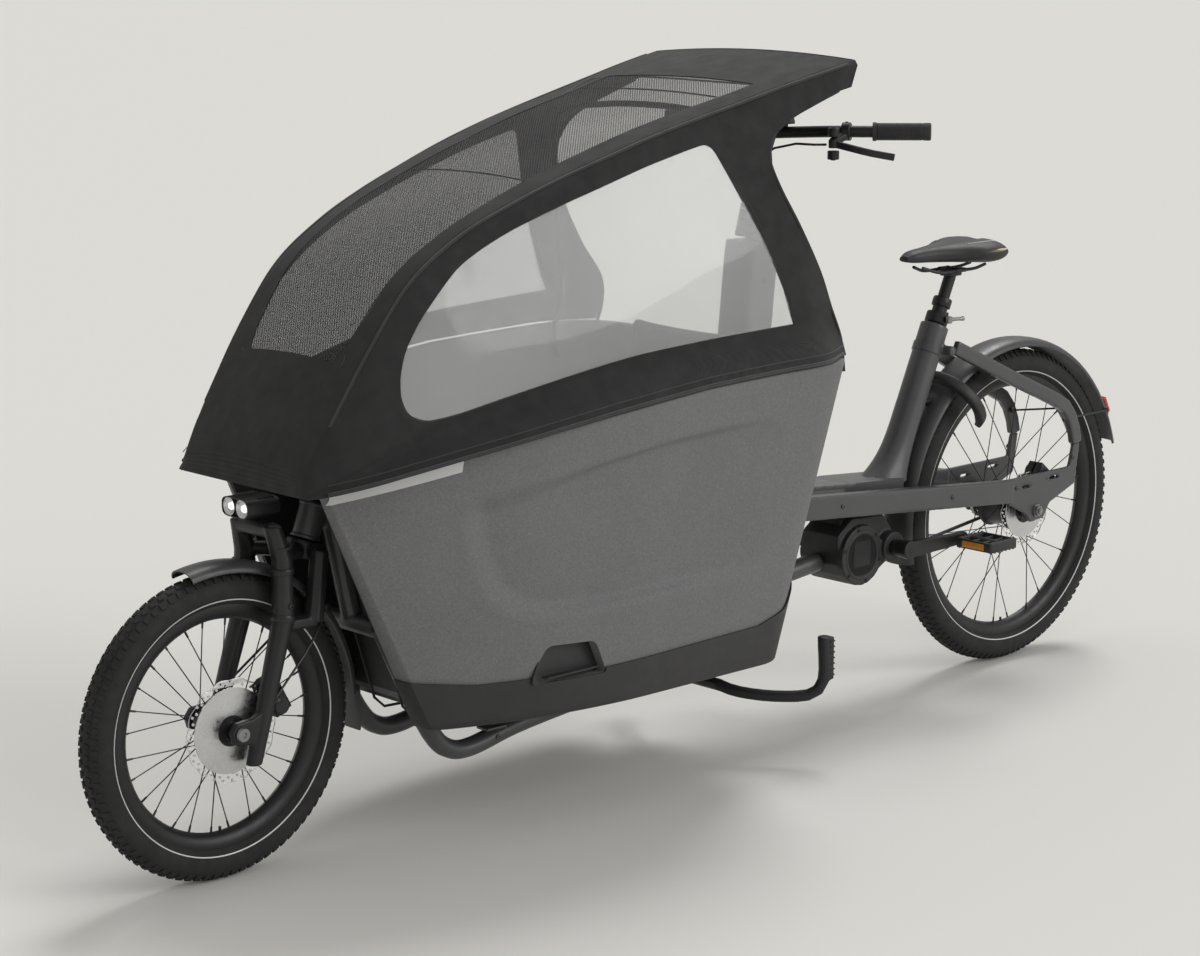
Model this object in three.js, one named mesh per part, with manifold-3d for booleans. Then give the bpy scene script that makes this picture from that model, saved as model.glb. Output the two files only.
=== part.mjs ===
// Front-loading cargo bicycle: a box ahead of the rider, a cable-steered front wheel and a mid motor.
// Millimetres, +X forward, +Y the rider's left, +Z up. The model is drawn from the rear axle, on the
// ground and in the middle plane, and the finished group is moved so that its box is centred on X.
import * as THREE from "three";
import { mergeVertices } from "three/addons/utils/BufferGeometryUtils.js";
import Module from "manifold-3d";

const wasm = await Module();
wasm.setup();

// ---------------------------------------------------------------- driving dimensions
const GAP = 0.4; // clearance between pieces that touch
const RUNNING_GAP = 1.5; // clearance between pieces that turn past each other

const WHEELBASE = 2077;
const REAR_RADIUS = 340;
const FRONT_RADIUS = 263;
const REAR_TYRE_WIDTH = 60;
const FRONT_TYRE_WIDTH = 58;
const TYRE_HEIGHT = 58; // from the tread down to the bead
const RIM_HEIGHT = 24;
const RIM_WIDTH = 34;
const REAR_SPOKES = 16;
const FRONT_SPOKES = 12;
const SPOKE_RADIUS = 1.1;
const WHEEL_SIDES = 28;

const HEAD_LEAN = THREE.MathUtils.degToRad(20);
const HEAD_X = 1871; // steering axis at HEAD_Z
const HEAD_Z = 596;
const HEAD_TUBE_RADIUS = 24;
const STEERER_RADIUS = 14.3;
const FRONT_AXLE_RADIUS = 7;
const FRONT_DISC_RADIUS = 90;
const FRONT_DISC_Y = 40;
const LEG_Y = 64; // fork leg centre line at the axle
const LEG_TOP_Y = 52;

const REAR_DISC_RADIUS = 80;
const REAR_DISC_Y = 56;
const DROPOUT_Y = 84; // middle of the rear dropout plates
const DROPOUT_THICKNESS = 9;
const BEAM_WIDTH = 26;
const BEAM_HEIGHT = 48;
const REAR_AXLE_RADIUS = 7;
const BELT_Y = -62; // belt line, on the right
const BELT_WIDTH = 12;
const CHAINRING_RADIUS = 76;
const COG_RADIUS = 36;

const CRANK_X = 450;
const CRANK_Z = 327;
const CRANK_LENGTH = 170;
const CRANK_Y = 113; // middle of each crank arm
const PEDAL_Y = 178;
const MOTOR_X = 536;
const MOTOR_RADIUS = 62;
const MOTOR_LEFT = 66;
const MOTOR_RIGHT = -50;

const SEAT_TUBE_RADIUS = 30;
const SEAT_TUBE_BOTTOM = [394, 437];
const SEAT_TUBE_TOP = [247, 756];
const SEATPOST_RADIUS = 15.8;
const SADDLE_LENGTH = 270;
const SADDLE_WIDTH = 172;

const COLUMN_SIDE = 84; // square steering column
const COLUMN_X = 800; // centre of the column at its top
const COLUMN_TOP = 979;
const COLUMN_LEAN = THREE.MathUtils.degToRad(6);
const BAR_Z = 1192;
const BAR_RADIUS = 11;
const GRIP_RADIUS = 16.5;

const BOX_FLOOR = 225;
const BOX_RIM = 800;
const BOX_WALL = 20;
const BOX_RECESS = 11;
const BASE_PROUD = 4; // the base tray stands this far out of the box
const NOTCH_HALF_WIDTH = 128; // recess in the box's front for the steering head
const NOTCH_TOP_X = 1812;
const NOTCH_FOOT_X = 1680;
const GUARD_THICKNESS = 4;
const CANOPY_THICKNESS = 3;
const CRADLE_RADIUS = 17;
const CRADLE_Y = 100;
const CRADLE_Z = 190;

const STAND_PIVOT = [974, 140];
const STAND_TUBE_RADIUS = 12;
const STAND_Y = 122;

// ---------------------------------------------------------------- solids
const V = (x, y, z) => new THREE.Vector3(x, y, z);
const lerp = THREE.MathUtils.lerp;

// A closed geometry as a manifold solid, turned the right way out.
function solid(geometry) {
  const g = geometry.clone();
  for (const name of ["normal", "uv"]) g.deleteAttribute(name);
  const merged = mergeVertices(g, 1e-3);
  const vertProperties = merged.attributes.position.array;
  const triVerts = new Uint32Array(merged.index.array);
  const made = new wasm.Manifold(new wasm.Mesh({ numProp: 3, vertProperties, triVerts }));
  if (made.volume() >= 0) return made;
  return new wasm.Manifold(new wasm.Mesh({ numProp: 3, vertProperties, triVerts: triVerts.reverse() }));
}

function geometryOf(manifold) {
  const m = manifold.getMesh();
  const g = new THREE.BufferGeometry();
  g.setAttribute("position", new THREE.BufferAttribute(new Float32Array(m.vertProperties), 3));
  g.setIndex(new THREE.BufferAttribute(new Uint32Array(m.triVerts), 1));
  g.computeVertexNormals();
  return g;
}

const join = (...parts) => parts.reduce((a, b) => a.add(b));
const cut = (from, ...tools) => tools.reduce((a, b) => a.subtract(b), from);
const moved = (geometry, x, y, z) => geometry.translate(x, y, z);

// A block by its size and centre.
const block = (sx, sy, sz, x, y, z) => solid(moved(new THREE.BoxGeometry(sx, sy, sz), x, y, z));

// A round bar between two points, its radius at each end.
function bar(a, b, radiusA, radiusB = radiusA, sides = 16) {
  const length = a.distanceTo(b);
  const g = new THREE.CylinderGeometry(radiusB, radiusA, length, sides);
  const turn = new THREE.Quaternion().setFromUnitVectors(V(0, 1, 0), b.clone().sub(a).normalize());
  g.applyQuaternion(turn);
  return solid(moved(g, (a.x + b.x) / 2, (a.y + b.y) / 2, (a.z + b.z) / 2));
}

// A disc or pin about the Y axis.
const yBar = (x, z, y0, y1, radius, sides = 24) => bar(V(x, y0, z), V(x, y1, z), radius, radius, sides);

// A turned ring or body about the Y axis: profile points are [radius, y].
function turned(profile, sides = WHEEL_SIDES) {
  return solid(new THREE.LatheGeometry(profile.map((p) => new THREE.Vector2(...p)), sides));
}

// A plate with an outline in X and Z, between two values of Y.
function plateY(points, y0, y1, curveSegments = 6) {
  const shape = points instanceof THREE.Shape ? points : new THREE.Shape(
    points.map((p) => new THREE.Vector2(...p)));
  const g = new THREE.ExtrudeGeometry(shape, { depth: y1 - y0, bevelEnabled: false, curveSegments });
  g.rotateX(Math.PI / 2);
  return solid(moved(g, 0, y1, 0));
}

// A plate with an outline in X and Y, between two values of Z.
function plateZ(points, z0, z1) {
  const shape = new THREE.Shape(points.map((p) => new THREE.Vector2(...p)));
  return solid(moved(new THREE.ExtrudeGeometry(shape, { depth: z1 - z0, bevelEnabled: false }), 0, 0, z0));
}

const circle = (radius, sides) => Array.from({ length: sides }, (_, i) => {
  const a = (2 * Math.PI * i) / sides;
  return new THREE.Vector2(radius * Math.cos(a), radius * Math.sin(a));
});

const rectangle = (w, h) => [[w, h], [-w, h], [-w, -h],
  [w, -h]].map(([x, y]) => new THREE.Vector2(x / 2, y / 2));

// A section swept along a smooth curve through points, or along straight runs when smooth is false.
function sweep(points, section, steps, smooth = true) {
  let path = new THREE.CatmullRomCurve3(points, false, "centripetal");
  if (!smooth) {
    path = new THREE.CurvePath();
    points.slice(1).forEach((p, i) => path.add(new THREE.LineCurve3(points[i], p)));
  }
  return solid(new THREE.ExtrudeGeometry(new THREE.Shape(section),
    { steps, extrudePath: path, bevelEnabled: false }));
}

const tube = (points, radius, steps, sides = 12) => sweep(points, circle(radius, sides), steps);

// A thin wire through points, with one ring at each of them.
function wire(points, radius, sides = 6) {
  const normal = V(0, 1, 0);
  return loft(points.map((p, i) => {
    const way = points[Math.min(i + 1, points.length - 1)].clone().sub(points[Math.max(i - 1,
      0)]).normalize();
    if (Math.abs(normal.dot(way)) > 0.95) normal.set(0, 0, 1);
    normal.addScaledVector(way, -normal.dot(way)).normalize();
    const across = way.clone().cross(normal);
    return circle(radius, sides).map((c) => p.clone().addScaledVector(normal, c.x).addScaledVector(across,
      c.y));
  }));
}

// A closed skin through rings of the same number of points, with flat ends.
function loft(rings) {
  const n = rings[0].length;
  const position = rings.flat().flatMap((p) => [p.x, p.y, p.z]);
  const index = [];
  for (let r = 0; r + 1 < rings.length; r++)
    for (let i = 0; i < n; i++) {
      const a = r * n + i, b = r * n + ((i + 1) % n);
      index.push(a, b, b + n, a, b + n, a + n);
    }
  for (const [ring, turn] of [[0, 1], [rings.length - 1, 0]]) {
    const centre = rings[ring].reduce((s, p) => s.add(p), V(0, 0, 0)).divideScalar(n);
    const c = position.length / 3;
    position.push(centre.x, centre.y, centre.z);
    for (let i = 0; i < n; i++) {
      const a = ring * n + i, b = ring * n + ((i + 1) % n);
      index.push(...(turn ? [c, b, a] : [c, a, b]));
    }
  }
  const g = new THREE.BufferGeometry();
  g.setAttribute("position", new THREE.Float32BufferAttribute(position, 3));
  g.setIndex(index);
  return solid(g);
}

// Both sides of the bicycle: a solid and its mirror image across the middle plane.
const mirrored = (s) => solid(geometryOf(s).scale(1, -1, 1));

// ---------------------------------------------------------------- materials and the assembly
const finish = (color, roughness, metalness = 0) => ({ color, roughness, metalness });
const FRAME_PAINT = finish(0x3b3c3e, 0.45, 0.3);
const BLACK_METAL = finish(0x1c1c1d, 0.5, 0.6);
const BLACK_PLASTIC = finish(0x1a1a1b, 0.6);
const TYRE_RUBBER = finish(0x141414, 0.85);
const FOAM = finish(0x6f6f70, 0.9);
const CLOTH = finish(0x1f1f20, 0.95);
const STEEL = finish(0xc9c9c9, 0.3, 1);
const CLEAR = finish(0xd8dcdc, 0.1);
const MESH_CLOTH = finish(0x4a4a4a, 0.9);

const bicycle = new THREE.Group();

function piece(name, shape, look, parent = bicycle) {
  const mesh = new THREE.Mesh(geometryOf(shape), new THREE.MeshStandardMaterial(look));
  mesh.name = name;
  parent.add(mesh);
  return mesh;
}

function pair(name, shape, look) {
  piece(`${name}_left`, shape, look);
  piece(`${name}_right`, mirrored(shape), look);
}

// ---------------------------------------------------------------- wheels
// Each wheel is drawn about its own axle, which lies on Y, and its group stands on the ground.
function wheelGroup(x, radius) {
  const group = new THREE.Group();
  group.position.set(x, 0, radius);
  bicycle.add(group);
  return group;
}

function tyre(radius, width) {
  const bead = radius - TYRE_HEIGHT + GAP;
  const half = width / 2;
  const side = [
    [bead, 0.5 * half],
    [bead + 0.5 * TYRE_HEIGHT, half],
    [radius - 0.17 * TYRE_HEIGHT, 0.8 * half],
    [radius, 0.25 * half],
  ];
  const other = [...side].reverse().map(([r, y]) => [r, -y]);
  return turned([...side, ...other, side[0]]);
}

function rim(radius) {
  const seat = radius - TYRE_HEIGHT;
  const half = RIM_WIDTH / 2;
  const side = [[seat, half], [seat - 0.55 * RIM_HEIGHT, half], [seat - RIM_HEIGHT, 0.3 * half]];
  const other = [...side].reverse().map(([r, y]) => [r, -y]);
  return turned([...side, ...other, side[0]]);
}

// Spokes hooked into the hub's flanges, crossing on their way to the rim.
function spokes(hubRadius, hubHalf, radius, count) {
  const tip = radius - TYRE_HEIGHT - RIM_HEIGHT - 2.5;
  return Array.from({ length: count }, (_, i) => {
    const side = i % 2 ? 1 : -1;
    const rimAngle = (2 * Math.PI * (i + 0.5)) / count;
    const lead = (i % 4 < 2 ? 1 : -1) * 0.5;
    const root = hubRadius - 1;
    const from = V(root * Math.cos(rimAngle + lead), side * (hubHalf - 3),
      root * Math.sin(rimAngle + lead));
    const to = V(tip * Math.cos(rimAngle), 3 * side, tip * Math.sin(rimAngle));
    return bar(from, to, SPOKE_RADIUS, SPOKE_RADIUS, 3);
  });
}

const AXLE_GAP = 0.5;
const HUB_COLLAR = 5;

// A hub shell about its axle, with a low flange at each end of its spoke sleeve.
function hub(radius, half, flangeHalf, axleRadius, endRadius) {
  const bore = axleRadius + AXLE_GAP;
  const end = half - 0.2;
  return turned([
    [bore, -end], [endRadius, -end], [endRadius, -flangeHalf - 4], [radius + HUB_COLLAR, -flangeHalf - 2],
    [radius + HUB_COLLAR, -flangeHalf - GAP], [radius, -flangeHalf - GAP], [radius, flangeHalf + GAP],
    [radius + HUB_COLLAR, flangeHalf + GAP], [radius + HUB_COLLAR, flangeHalf + 2],
      [endRadius, flangeHalf + 4],
    [endRadius, end], [bore, end], [bore, -end],
  ], 12);
}

const DISC_THICKNESS = 2.2;
const DISC_TRACK = 17;

function brakeDisc(radius, y, boreRadius) {
  const y0 = y - DISC_THICKNESS / 2, y1 = y + DISC_THICKNESS / 2;
  const ring = (r0, r1) => turned([[r0, y0], [r1, y0], [r1, y1], [r0, y1], [r0, y0]], 20);
  const arms = Array.from({ length: 5 }, (_, i) => {
    const a = (2 * Math.PI * i) / 5;
    const arm = block(radius - DISC_TRACK - boreRadius, DISC_THICKNESS, 9,
      (radius - DISC_TRACK + boreRadius + 8) / 2, y, 0);
    return solid(geometryOf(arm).rotateY(a));
  });
  return join(ring(boreRadius, boreRadius + 12), ring(radius - DISC_TRACK, radius), ...arms);
}

const REAR_HUB_RADIUS = 45;
const REAR_HUB_FLANGE = 30;
const REAR_HUB_END = 20;
const rearWheel = wheelGroup(0, REAR_RADIUS);
const rearHubHalf = REAR_DISC_Y + 6;
piece("rear_tyre", tyre(REAR_RADIUS, REAR_TYRE_WIDTH), TYRE_RUBBER, rearWheel);
piece("rear_rim", rim(REAR_RADIUS), BLACK_METAL, rearWheel);
const cogInner = BELT_Y + BELT_WIDTH / 2 + 3; // the hub ends here on the cog's side
const rearHub = cut(
  hub(REAR_HUB_RADIUS, rearHubHalf, REAR_HUB_FLANGE, REAR_AXLE_RADIUS, REAR_HUB_END),
  block(200, 40, 200, 0, cogInner - 20, 0),
);
piece("rear_hub", join(rearHub, ...spokes(REAR_HUB_RADIUS, REAR_HUB_FLANGE, REAR_RADIUS, REAR_SPOKES)),
  BLACK_METAL, rearWheel);
piece("rear_disc", brakeDisc(REAR_DISC_RADIUS, REAR_DISC_Y, REAR_HUB_END + GAP), STEEL, rearWheel);

const FRONT_HUB_RADIUS = 17;
const FRONT_HUB_FLANGE = 27;
const FRONT_HUB_END = 15;
const frontWheel = wheelGroup(WHEELBASE, FRONT_RADIUS);
piece("front_tyre", tyre(FRONT_RADIUS, FRONT_TYRE_WIDTH), TYRE_RUBBER, frontWheel);
piece("front_rim", rim(FRONT_RADIUS), BLACK_METAL, frontWheel);
const frontHub = hub(FRONT_HUB_RADIUS, FRONT_DISC_Y + 8, FRONT_HUB_FLANGE, FRONT_AXLE_RADIUS,
  FRONT_HUB_END);
piece("front_hub", join(frontHub, ...spokes(FRONT_HUB_RADIUS, FRONT_HUB_FLANGE, FRONT_RADIUS,
  FRONT_SPOKES)),
  BLACK_METAL, frontWheel);
piece("front_disc", brakeDisc(FRONT_DISC_RADIUS, FRONT_DISC_Y, FRONT_HUB_END + GAP), STEEL, frontWheel);

// ---------------------------------------------------------------- rear frame
const BEAM_Y = DROPOUT_Y + 6;
const BEAM_FRONT = [905, 466]; // beam centre line, in X and Z
const BEAM_REAR = [96, 395];
const beamZ = (x) => lerp(BEAM_REAR[1], BEAM_FRONT[1], (x - BEAM_REAR[0]) / (BEAM_FRONT[0] - BEAM_REAR[0]));

const beam = sweep([V(BEAM_REAR[0], BEAM_Y, BEAM_REAR[1]), V(BEAM_FRONT[0], BEAM_Y, BEAM_FRONT[1])],
  rectangle(BEAM_WIDTH, BEAM_HEIGHT), 1, false);

// The dropout plate hangs from the end of the beam and carries the stay's foot.
const beamEnd = BEAM_REAR[0] + 6;
const dropoutTop = BEAM_REAR[1] + BEAM_HEIGHT / 2;
const dropoutBottom = BEAM_REAR[1] - BEAM_HEIGHT / 2;
const DROPOUT_REAR = -112;
const dropout = cut(
  plateY([
    [beamEnd, dropoutTop], [DROPOUT_REAR, dropoutTop + 2], [DROPOUT_REAR - 12, dropoutTop + 50],
    [DROPOUT_REAR - 34, dropoutTop + 50], [DROPOUT_REAR - 20, dropoutTop - 38],
    [-46, REAR_RADIUS + 10], [-26, REAR_RADIUS - 20],
    [18, REAR_RADIUS - 24], [34, REAR_RADIUS - 4], [beamEnd, dropoutBottom],
  ], DROPOUT_Y - DROPOUT_THICKNESS / 2, DROPOUT_Y + DROPOUT_THICKNESS / 2),
  yBar(0, REAR_RADIUS, 0, 200, REAR_AXLE_RADIUS + GAP, 16),
  block(30, 60, 9, -58, DROPOUT_Y, dropoutTop - 14),
  block(24, 60, 9, 38, DROPOUT_Y, dropoutTop - 22),
);
pair("chain_stay", join(beam, dropout), FRAME_PAINT);

const axleNut = (y0, y1, r) => yBar(0, REAR_RADIUS, y0, y1, r, 6);
const dropoutOuter = DROPOUT_Y + DROPOUT_THICKNESS / 2 + GAP;
piece("rear_axle", join(yBar(0, REAR_RADIUS, -dropoutOuter - 14, dropoutOuter + 14, REAR_AXLE_RADIUS, 16),
  axleNut(dropoutOuter, dropoutOuter + 9, 12), axleNut(-dropoutOuter - 9, -dropoutOuter, 12)), BLACK_METAL);

// The stays run from the seat tube's top down to the dropouts' rear ends.
const seatLean = Math.atan2(SEAT_TUBE_BOTTOM[0] - SEAT_TUBE_TOP[0], SEAT_TUBE_TOP[1] - SEAT_TUBE_BOTTOM[1]);
const seatAt = (z) => SEAT_TUBE_TOP[0] + (SEAT_TUBE_TOP[1] - z) * Math.tan(seatLean);
const STAY_HEIGHT = 30;
const STAY_WIDTH = 16;
const STAY_TOP_Z = 712;
const stayFoot = V(DROPOUT_REAR - 23, DROPOUT_Y, dropoutTop + 50 + GAP);
const stay = sweep([
  V(seatAt(STAY_TOP_Z) - 34, 44, STAY_TOP_Z), V(60, 68, 628), V(-50, DROPOUT_Y, 577),
  V(-96, DROPOUT_Y, 553), V(-122, DROPOUT_Y, 515), stayFoot,
], rectangle(STAY_WIDTH, STAY_HEIGHT), 14);
const stayBridge = yBar(seatAt(STAY_TOP_Z) - 20, STAY_TOP_Z - 6, -52, 52, 11, 12);
const fenderRadius = REAR_RADIUS + 26;
pair("seat_stay", cut(stay, block(400, 300, 100, 0, 0, stayFoot.z - 50)), FRAME_PAINT);

// Seat tube with its spine, which runs forward between the beams to the bulkhead.
const spineTop = (x) => beamZ(x) + 34;
const SPINE_WIDTH = 2 * (BEAM_Y - BEAM_WIDTH / 2 - GAP);
const spineOutline = [
  [BEAM_FRONT[0], spineTop(BEAM_FRONT[0])], [560, spineTop(560)], [470, spineTop(470) + 12],
  [430, 510], [405, 545], [360, 545], [388, 480], [394, 437], [394, beamZ(394) - 20],
    [BEAM_FRONT[0], beamZ(905) - 20],
];
const postBore = bar(V(seatAt(900), 0, 900), V(seatAt(430), 0, 430), SEATPOST_RADIUS + AXLE_GAP);
const seatTube = cut(
  join(
    bar(V(seatAt(400), 0, 400), V(SEAT_TUBE_TOP[0], 0, SEAT_TUBE_TOP[1]), SEAT_TUBE_RADIUS,
      SEAT_TUBE_RADIUS, 20),
    plateY(spineOutline, -SPINE_WIDTH / 2 + 26, SPINE_WIDTH / 2 - 26),
    plateY([[905, beamZ(905) + 18], [580, beamZ(580) + 18], [580, beamZ(580) - 18], [905, beamZ(905) - 18]],
      -SPINE_WIDTH / 2, SPINE_WIDTH / 2),
  ),
  postBore,
);
const bridgeSleeve = cut(stayBridge, bar(V(seatAt(800), 0, 800), V(seatAt(600), 0, 600),
  SEATPOST_RADIUS + 6));
piece("seat_tube", join(seatTube, cut(bridgeSleeve, stay, mirrored(stay))), FRAME_PAINT);

// ---------------------------------------------------------------- rear mudguard, lamp and brake
const arcPoint = (radius, degrees, y, centreX, centreZ) => V(
  centreX + radius * Math.cos(THREE.MathUtils.degToRad(degrees)), y,
  centreZ + radius * Math.sin(THREE.MathUtils.degToRad(degrees)));

// A mudguard: a channel ring about the axle, cut away outside its own arc.
function mudguard(outer, width, fromDegrees, toDegrees, centreX, centreZ) {
  const half = width / 2;
  const side = [[outer - 17, half], [outer - 4, half - 4], [outer, half - 13]];
  const under = [[outer - 2.5, half - 14], [outer - 6, half - 6.5], [outer - 17, half - 2.5]];
  const flip = (list) => [...list].reverse().map(([r, y]) => [r, -y]);
  const ring = turned([...side, ...flip(side), ...flip(under), ...under, side[0]], 32);
  const steps = 5;
  const away = Array.from({ length: steps + 1 }, (_, i) => {
    const a = THREE.MathUtils.degToRad(lerp(toDegrees, fromDegrees + 360, i / steps));
    return [2 * outer * Math.cos(a), 2 * outer * Math.sin(a)];
  });
  const kept = cut(ring, plateY([[0, 0], ...away], -width, width));
  return solid(moved(geometryOf(kept), centreX, 0, centreZ));
}

const REAR_GUARD_WIDTH = 78;
const REAR_GUARD_END = 164;
const guardStay = (side) => bar(arcPoint(fenderRadius - 12, 150, side * (REAR_GUARD_WIDTH / 2 - 1), 0,
  REAR_RADIUS),
  V(-112, side * (DROPOUT_Y - STAY_WIDTH / 2 - 4), 524), 2.4, 2.4, 6);
const guardBracket = bar(arcPoint(fenderRadius - 2, 45, 0, 0, REAR_RADIUS),
  V(seatAt(600) - SEAT_TUBE_RADIUS / Math.cos(seatLean) - 4, 0, 600), 9, 9, 10);
piece("rear_mudguard", join(mudguard(fenderRadius, REAR_GUARD_WIDTH, -12, REAR_GUARD_END, 0, REAR_RADIUS),
  guardStay(1), guardStay(-1), guardBracket), BLACK_PLASTIC);

const tailAngle = 152;
const tailTurn = THREE.MathUtils.degToRad(90 - tailAngle);
const tailLight = geometryOf(block(52, 44, 26, 0, 0, fenderRadius + 13 + GAP)).rotateY(tailTurn);
piece("tail_light", solid(moved(tailLight, 0, 0, REAR_RADIUS)), BLACK_PLASTIC);

// A disc brake calliper: a block with a slot in which the disc turns.
function calliper(centre, y, tilt) {
  const body = join(block(34, 36, 62, 0, 0, 0), yBar(0, 18, -21, 21, 15, 12),
    yBar(0, -16, -21, 21, 15, 12));
  const slot = block(60, DISC_THICKNESS + 2 * RUNNING_GAP, 140, -16, 0, 0);
  const g = geometryOf(cut(body, slot)).rotateY(tilt);
  return solid(moved(g, centre[0], y, centre[1]));
}

const rearCalliperAngle = THREE.MathUtils.degToRad(128);
piece("rear_calliper", calliper([
  Math.cos(rearCalliperAngle) * (REAR_DISC_RADIUS + 2),
  REAR_RADIUS + Math.sin(rearCalliperAngle) * (REAR_DISC_RADIUS + 2),
], REAR_DISC_Y, -rearCalliperAngle), BLACK_METAL);

// ---------------------------------------------------------------- seat
const seatPoint = (z) => V(seatAt(z), 0, z);
const POST_LENGTH_LOW = 560; // lower end of the seatpost
const POST_SHOULDER = 800;
const SADDLE_RAIL_Z = 868;
const seatpost = join(
  bar(seatPoint(POST_LENGTH_LOW), seatPoint(POST_SHOULDER), SEATPOST_RADIUS, SEATPOST_RADIUS, 16),
  bar(seatPoint(POST_SHOULDER - 8), seatPoint(POST_SHOULDER + 10), 20, 20, 16),
  bar(seatPoint(POST_SHOULDER), seatPoint(SADDLE_RAIL_Z - 10), 12.5, 12.5, 12),
  block(38, 30, 14, seatAt(SADDLE_RAIL_Z - 11), 0, SADDLE_RAIL_Z - 11),
);
const rail = (side) => tube([V(112, side * 20, 874), V(150, side * 22, SADDLE_RAIL_Z),
  V(260, side * 22, SADDLE_RAIL_Z),
  V(305, side * 12, 880)], 3.5, 6, 6);
const yoke = block(34, 56, 12, seatAt(SADDLE_RAIL_Z), 0, SADDLE_RAIL_Z);
piece("seatpost", join(seatpost, rail(1), rail(-1), yoke), BLACK_METAL);

// Saddle sections from the back to the nose: place, half width, top and underside.
const SADDLE_REAR = 82;
const saddleSections = [
  [0, 0.46, 908, 893], [0.05, 0.78, 921, 887], [0.17, 1, 931, 880], [0.35, 0.93, 930, 883],
  [0.52, 0.58, 925, 886], [0.72, 0.33, 921, 889], [0.92, 0.23, 915, 892], [1, 0.12, 906, 896],
];
const saddle = loft(saddleSections.map(([along, wide, top, under]) =>
  Array.from({ length: 14 }, (_, i) => {
    const a = (2 * Math.PI * i) / 14;
    const c = Math.cos(a), z = Math.sin(a);
    const y = 0.5 * SADDLE_WIDTH * wide * Math.sign(c) * Math.abs(c) ** 0.7;
    return V(SADDLE_REAR + along * SADDLE_LENGTH, y, (top + under) / 2 + ((top - under) / 2) * z);
  })));
piece("saddle", cut(saddle, rail(1), rail(-1)), BLACK_PLASTIC);

const clampFoot = SEAT_TUBE_TOP[1] + 2;
piece("seat_clamp", cut(bar(seatPoint(clampFoot), seatPoint(clampFoot + 22), 24, 24, 18), postBore),
  BLACK_METAL);
const leverZ = clampFoot + 11;
const LEVER_Y = 32;
piece("seat_lever", join(bar(V(seatAt(leverZ), LEVER_Y, leverZ - 7), V(seatAt(leverZ), LEVER_Y, leverZ + 7),
  7, 7, 10),
  block(46, 6, 12, seatAt(leverZ) - 23, LEVER_Y, leverZ)), BLACK_METAL);

// ---------------------------------------------------------------- motor, crank, pedals and belt
const motorBody = join(
  yBar(MOTOR_X, CRANK_Z - 6, MOTOR_RIGHT, MOTOR_LEFT, MOTOR_RADIUS, 20),
  yBar(CRANK_X, CRANK_Z, MOTOR_RIGHT, MOTOR_LEFT + 10, 32, 16),
  plateY([[CRANK_X, CRANK_Z - 34], [MOTOR_X - 20, CRANK_Z - 70], [MOTOR_X + 30, CRANK_Z - 62],
    [MOTOR_X + 62, CRANK_Z - 20],
    [MOTOR_X + 62, CRANK_Z + 40], [MOTOR_X + 20, CRANK_Z + 70], [CRANK_X + 10, CRANK_Z + 66],
      [CRANK_X - 26, CRANK_Z + 20]],
  MOTOR_RIGHT + 8, MOTOR_LEFT - 12),
);
const SPINDLE_RADIUS = 12;
piece("motor_housing", cut(motorBody, yBar(CRANK_X, CRANK_Z, -200, 200, SPINDLE_RADIUS + AXLE_GAP, 16)),
  BLACK_PLASTIC);

const ARM_THICKNESS = 14;
const PEDAL_PIN = 7;
// A crank arm on the side given (1 left, -1 right) pointing along X (1 forward, -1 rearward).
function crankArm(side, way) {
  const tip = CRANK_X + way * CRANK_LENGTH;
  const y0 = side * CRANK_Y - ARM_THICKNESS / 2, y1 = y0 + ARM_THICKNESS;
  const web = plateY([[CRANK_X, CRANK_Z - 17], [CRANK_X, CRANK_Z + 17], [tip, CRANK_Z + 12],
    [tip, CRANK_Z - 12]], y0, y1);
  const boss = yBar(CRANK_X, CRANK_Z, Math.min(side * (MOTOR_LEFT + 13), y1 - 1),
    Math.max(side * (MOTOR_LEFT + 13), y0 + 1), 18, 16);
  return cut(join(web, boss, yBar(CRANK_X, CRANK_Z, y0, y1, 19, 16), yBar(tip, CRANK_Z, y0, y1, 14, 14)),
    yBar(tip, CRANK_Z, -300, 300, PEDAL_PIN + AXLE_GAP, 12));
}
const spindleEnd = CRANK_Y + ARM_THICKNESS / 2 - 3;
const spindle = yBar(CRANK_X, CRANK_Z, -spindleEnd, spindleEnd - 4, SPINDLE_RADIUS, 16);
piece("crank_left", join(crankArm(1, -1), spindle), BLACK_METAL);
const spindleHole = yBar(CRANK_X, CRANK_Z, -300, 0, SPINDLE_RADIUS + GAP, 16);
const chainring = turned([[SPINDLE_RADIUS + GAP, -4], [CHAINRING_RADIUS, -4], [CHAINRING_RADIUS, 4],
  [SPINDLE_RADIUS + GAP, 4],
  [SPINDLE_RADIUS + GAP, -4]], 24);
const lighten = Array.from({ length: 5 }, (_, i) => {
  const a = (2 * Math.PI * i) / 5 + 0.3;
  return yBar(48 * Math.cos(a), 48 * Math.sin(a), -20, 20, 16, 8);
});
const pulley = solid(moved(geometryOf(cut(chainring, ...lighten)), CRANK_X, BELT_Y, CRANK_Z));
const crankBoss = yBar(CRANK_X, CRANK_Z, -CRANK_Y, BELT_Y, 20, 16);
piece("crank_right", cut(join(crankArm(-1, 1), crankBoss, pulley), spindleHole), BLACK_METAL);

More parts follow.
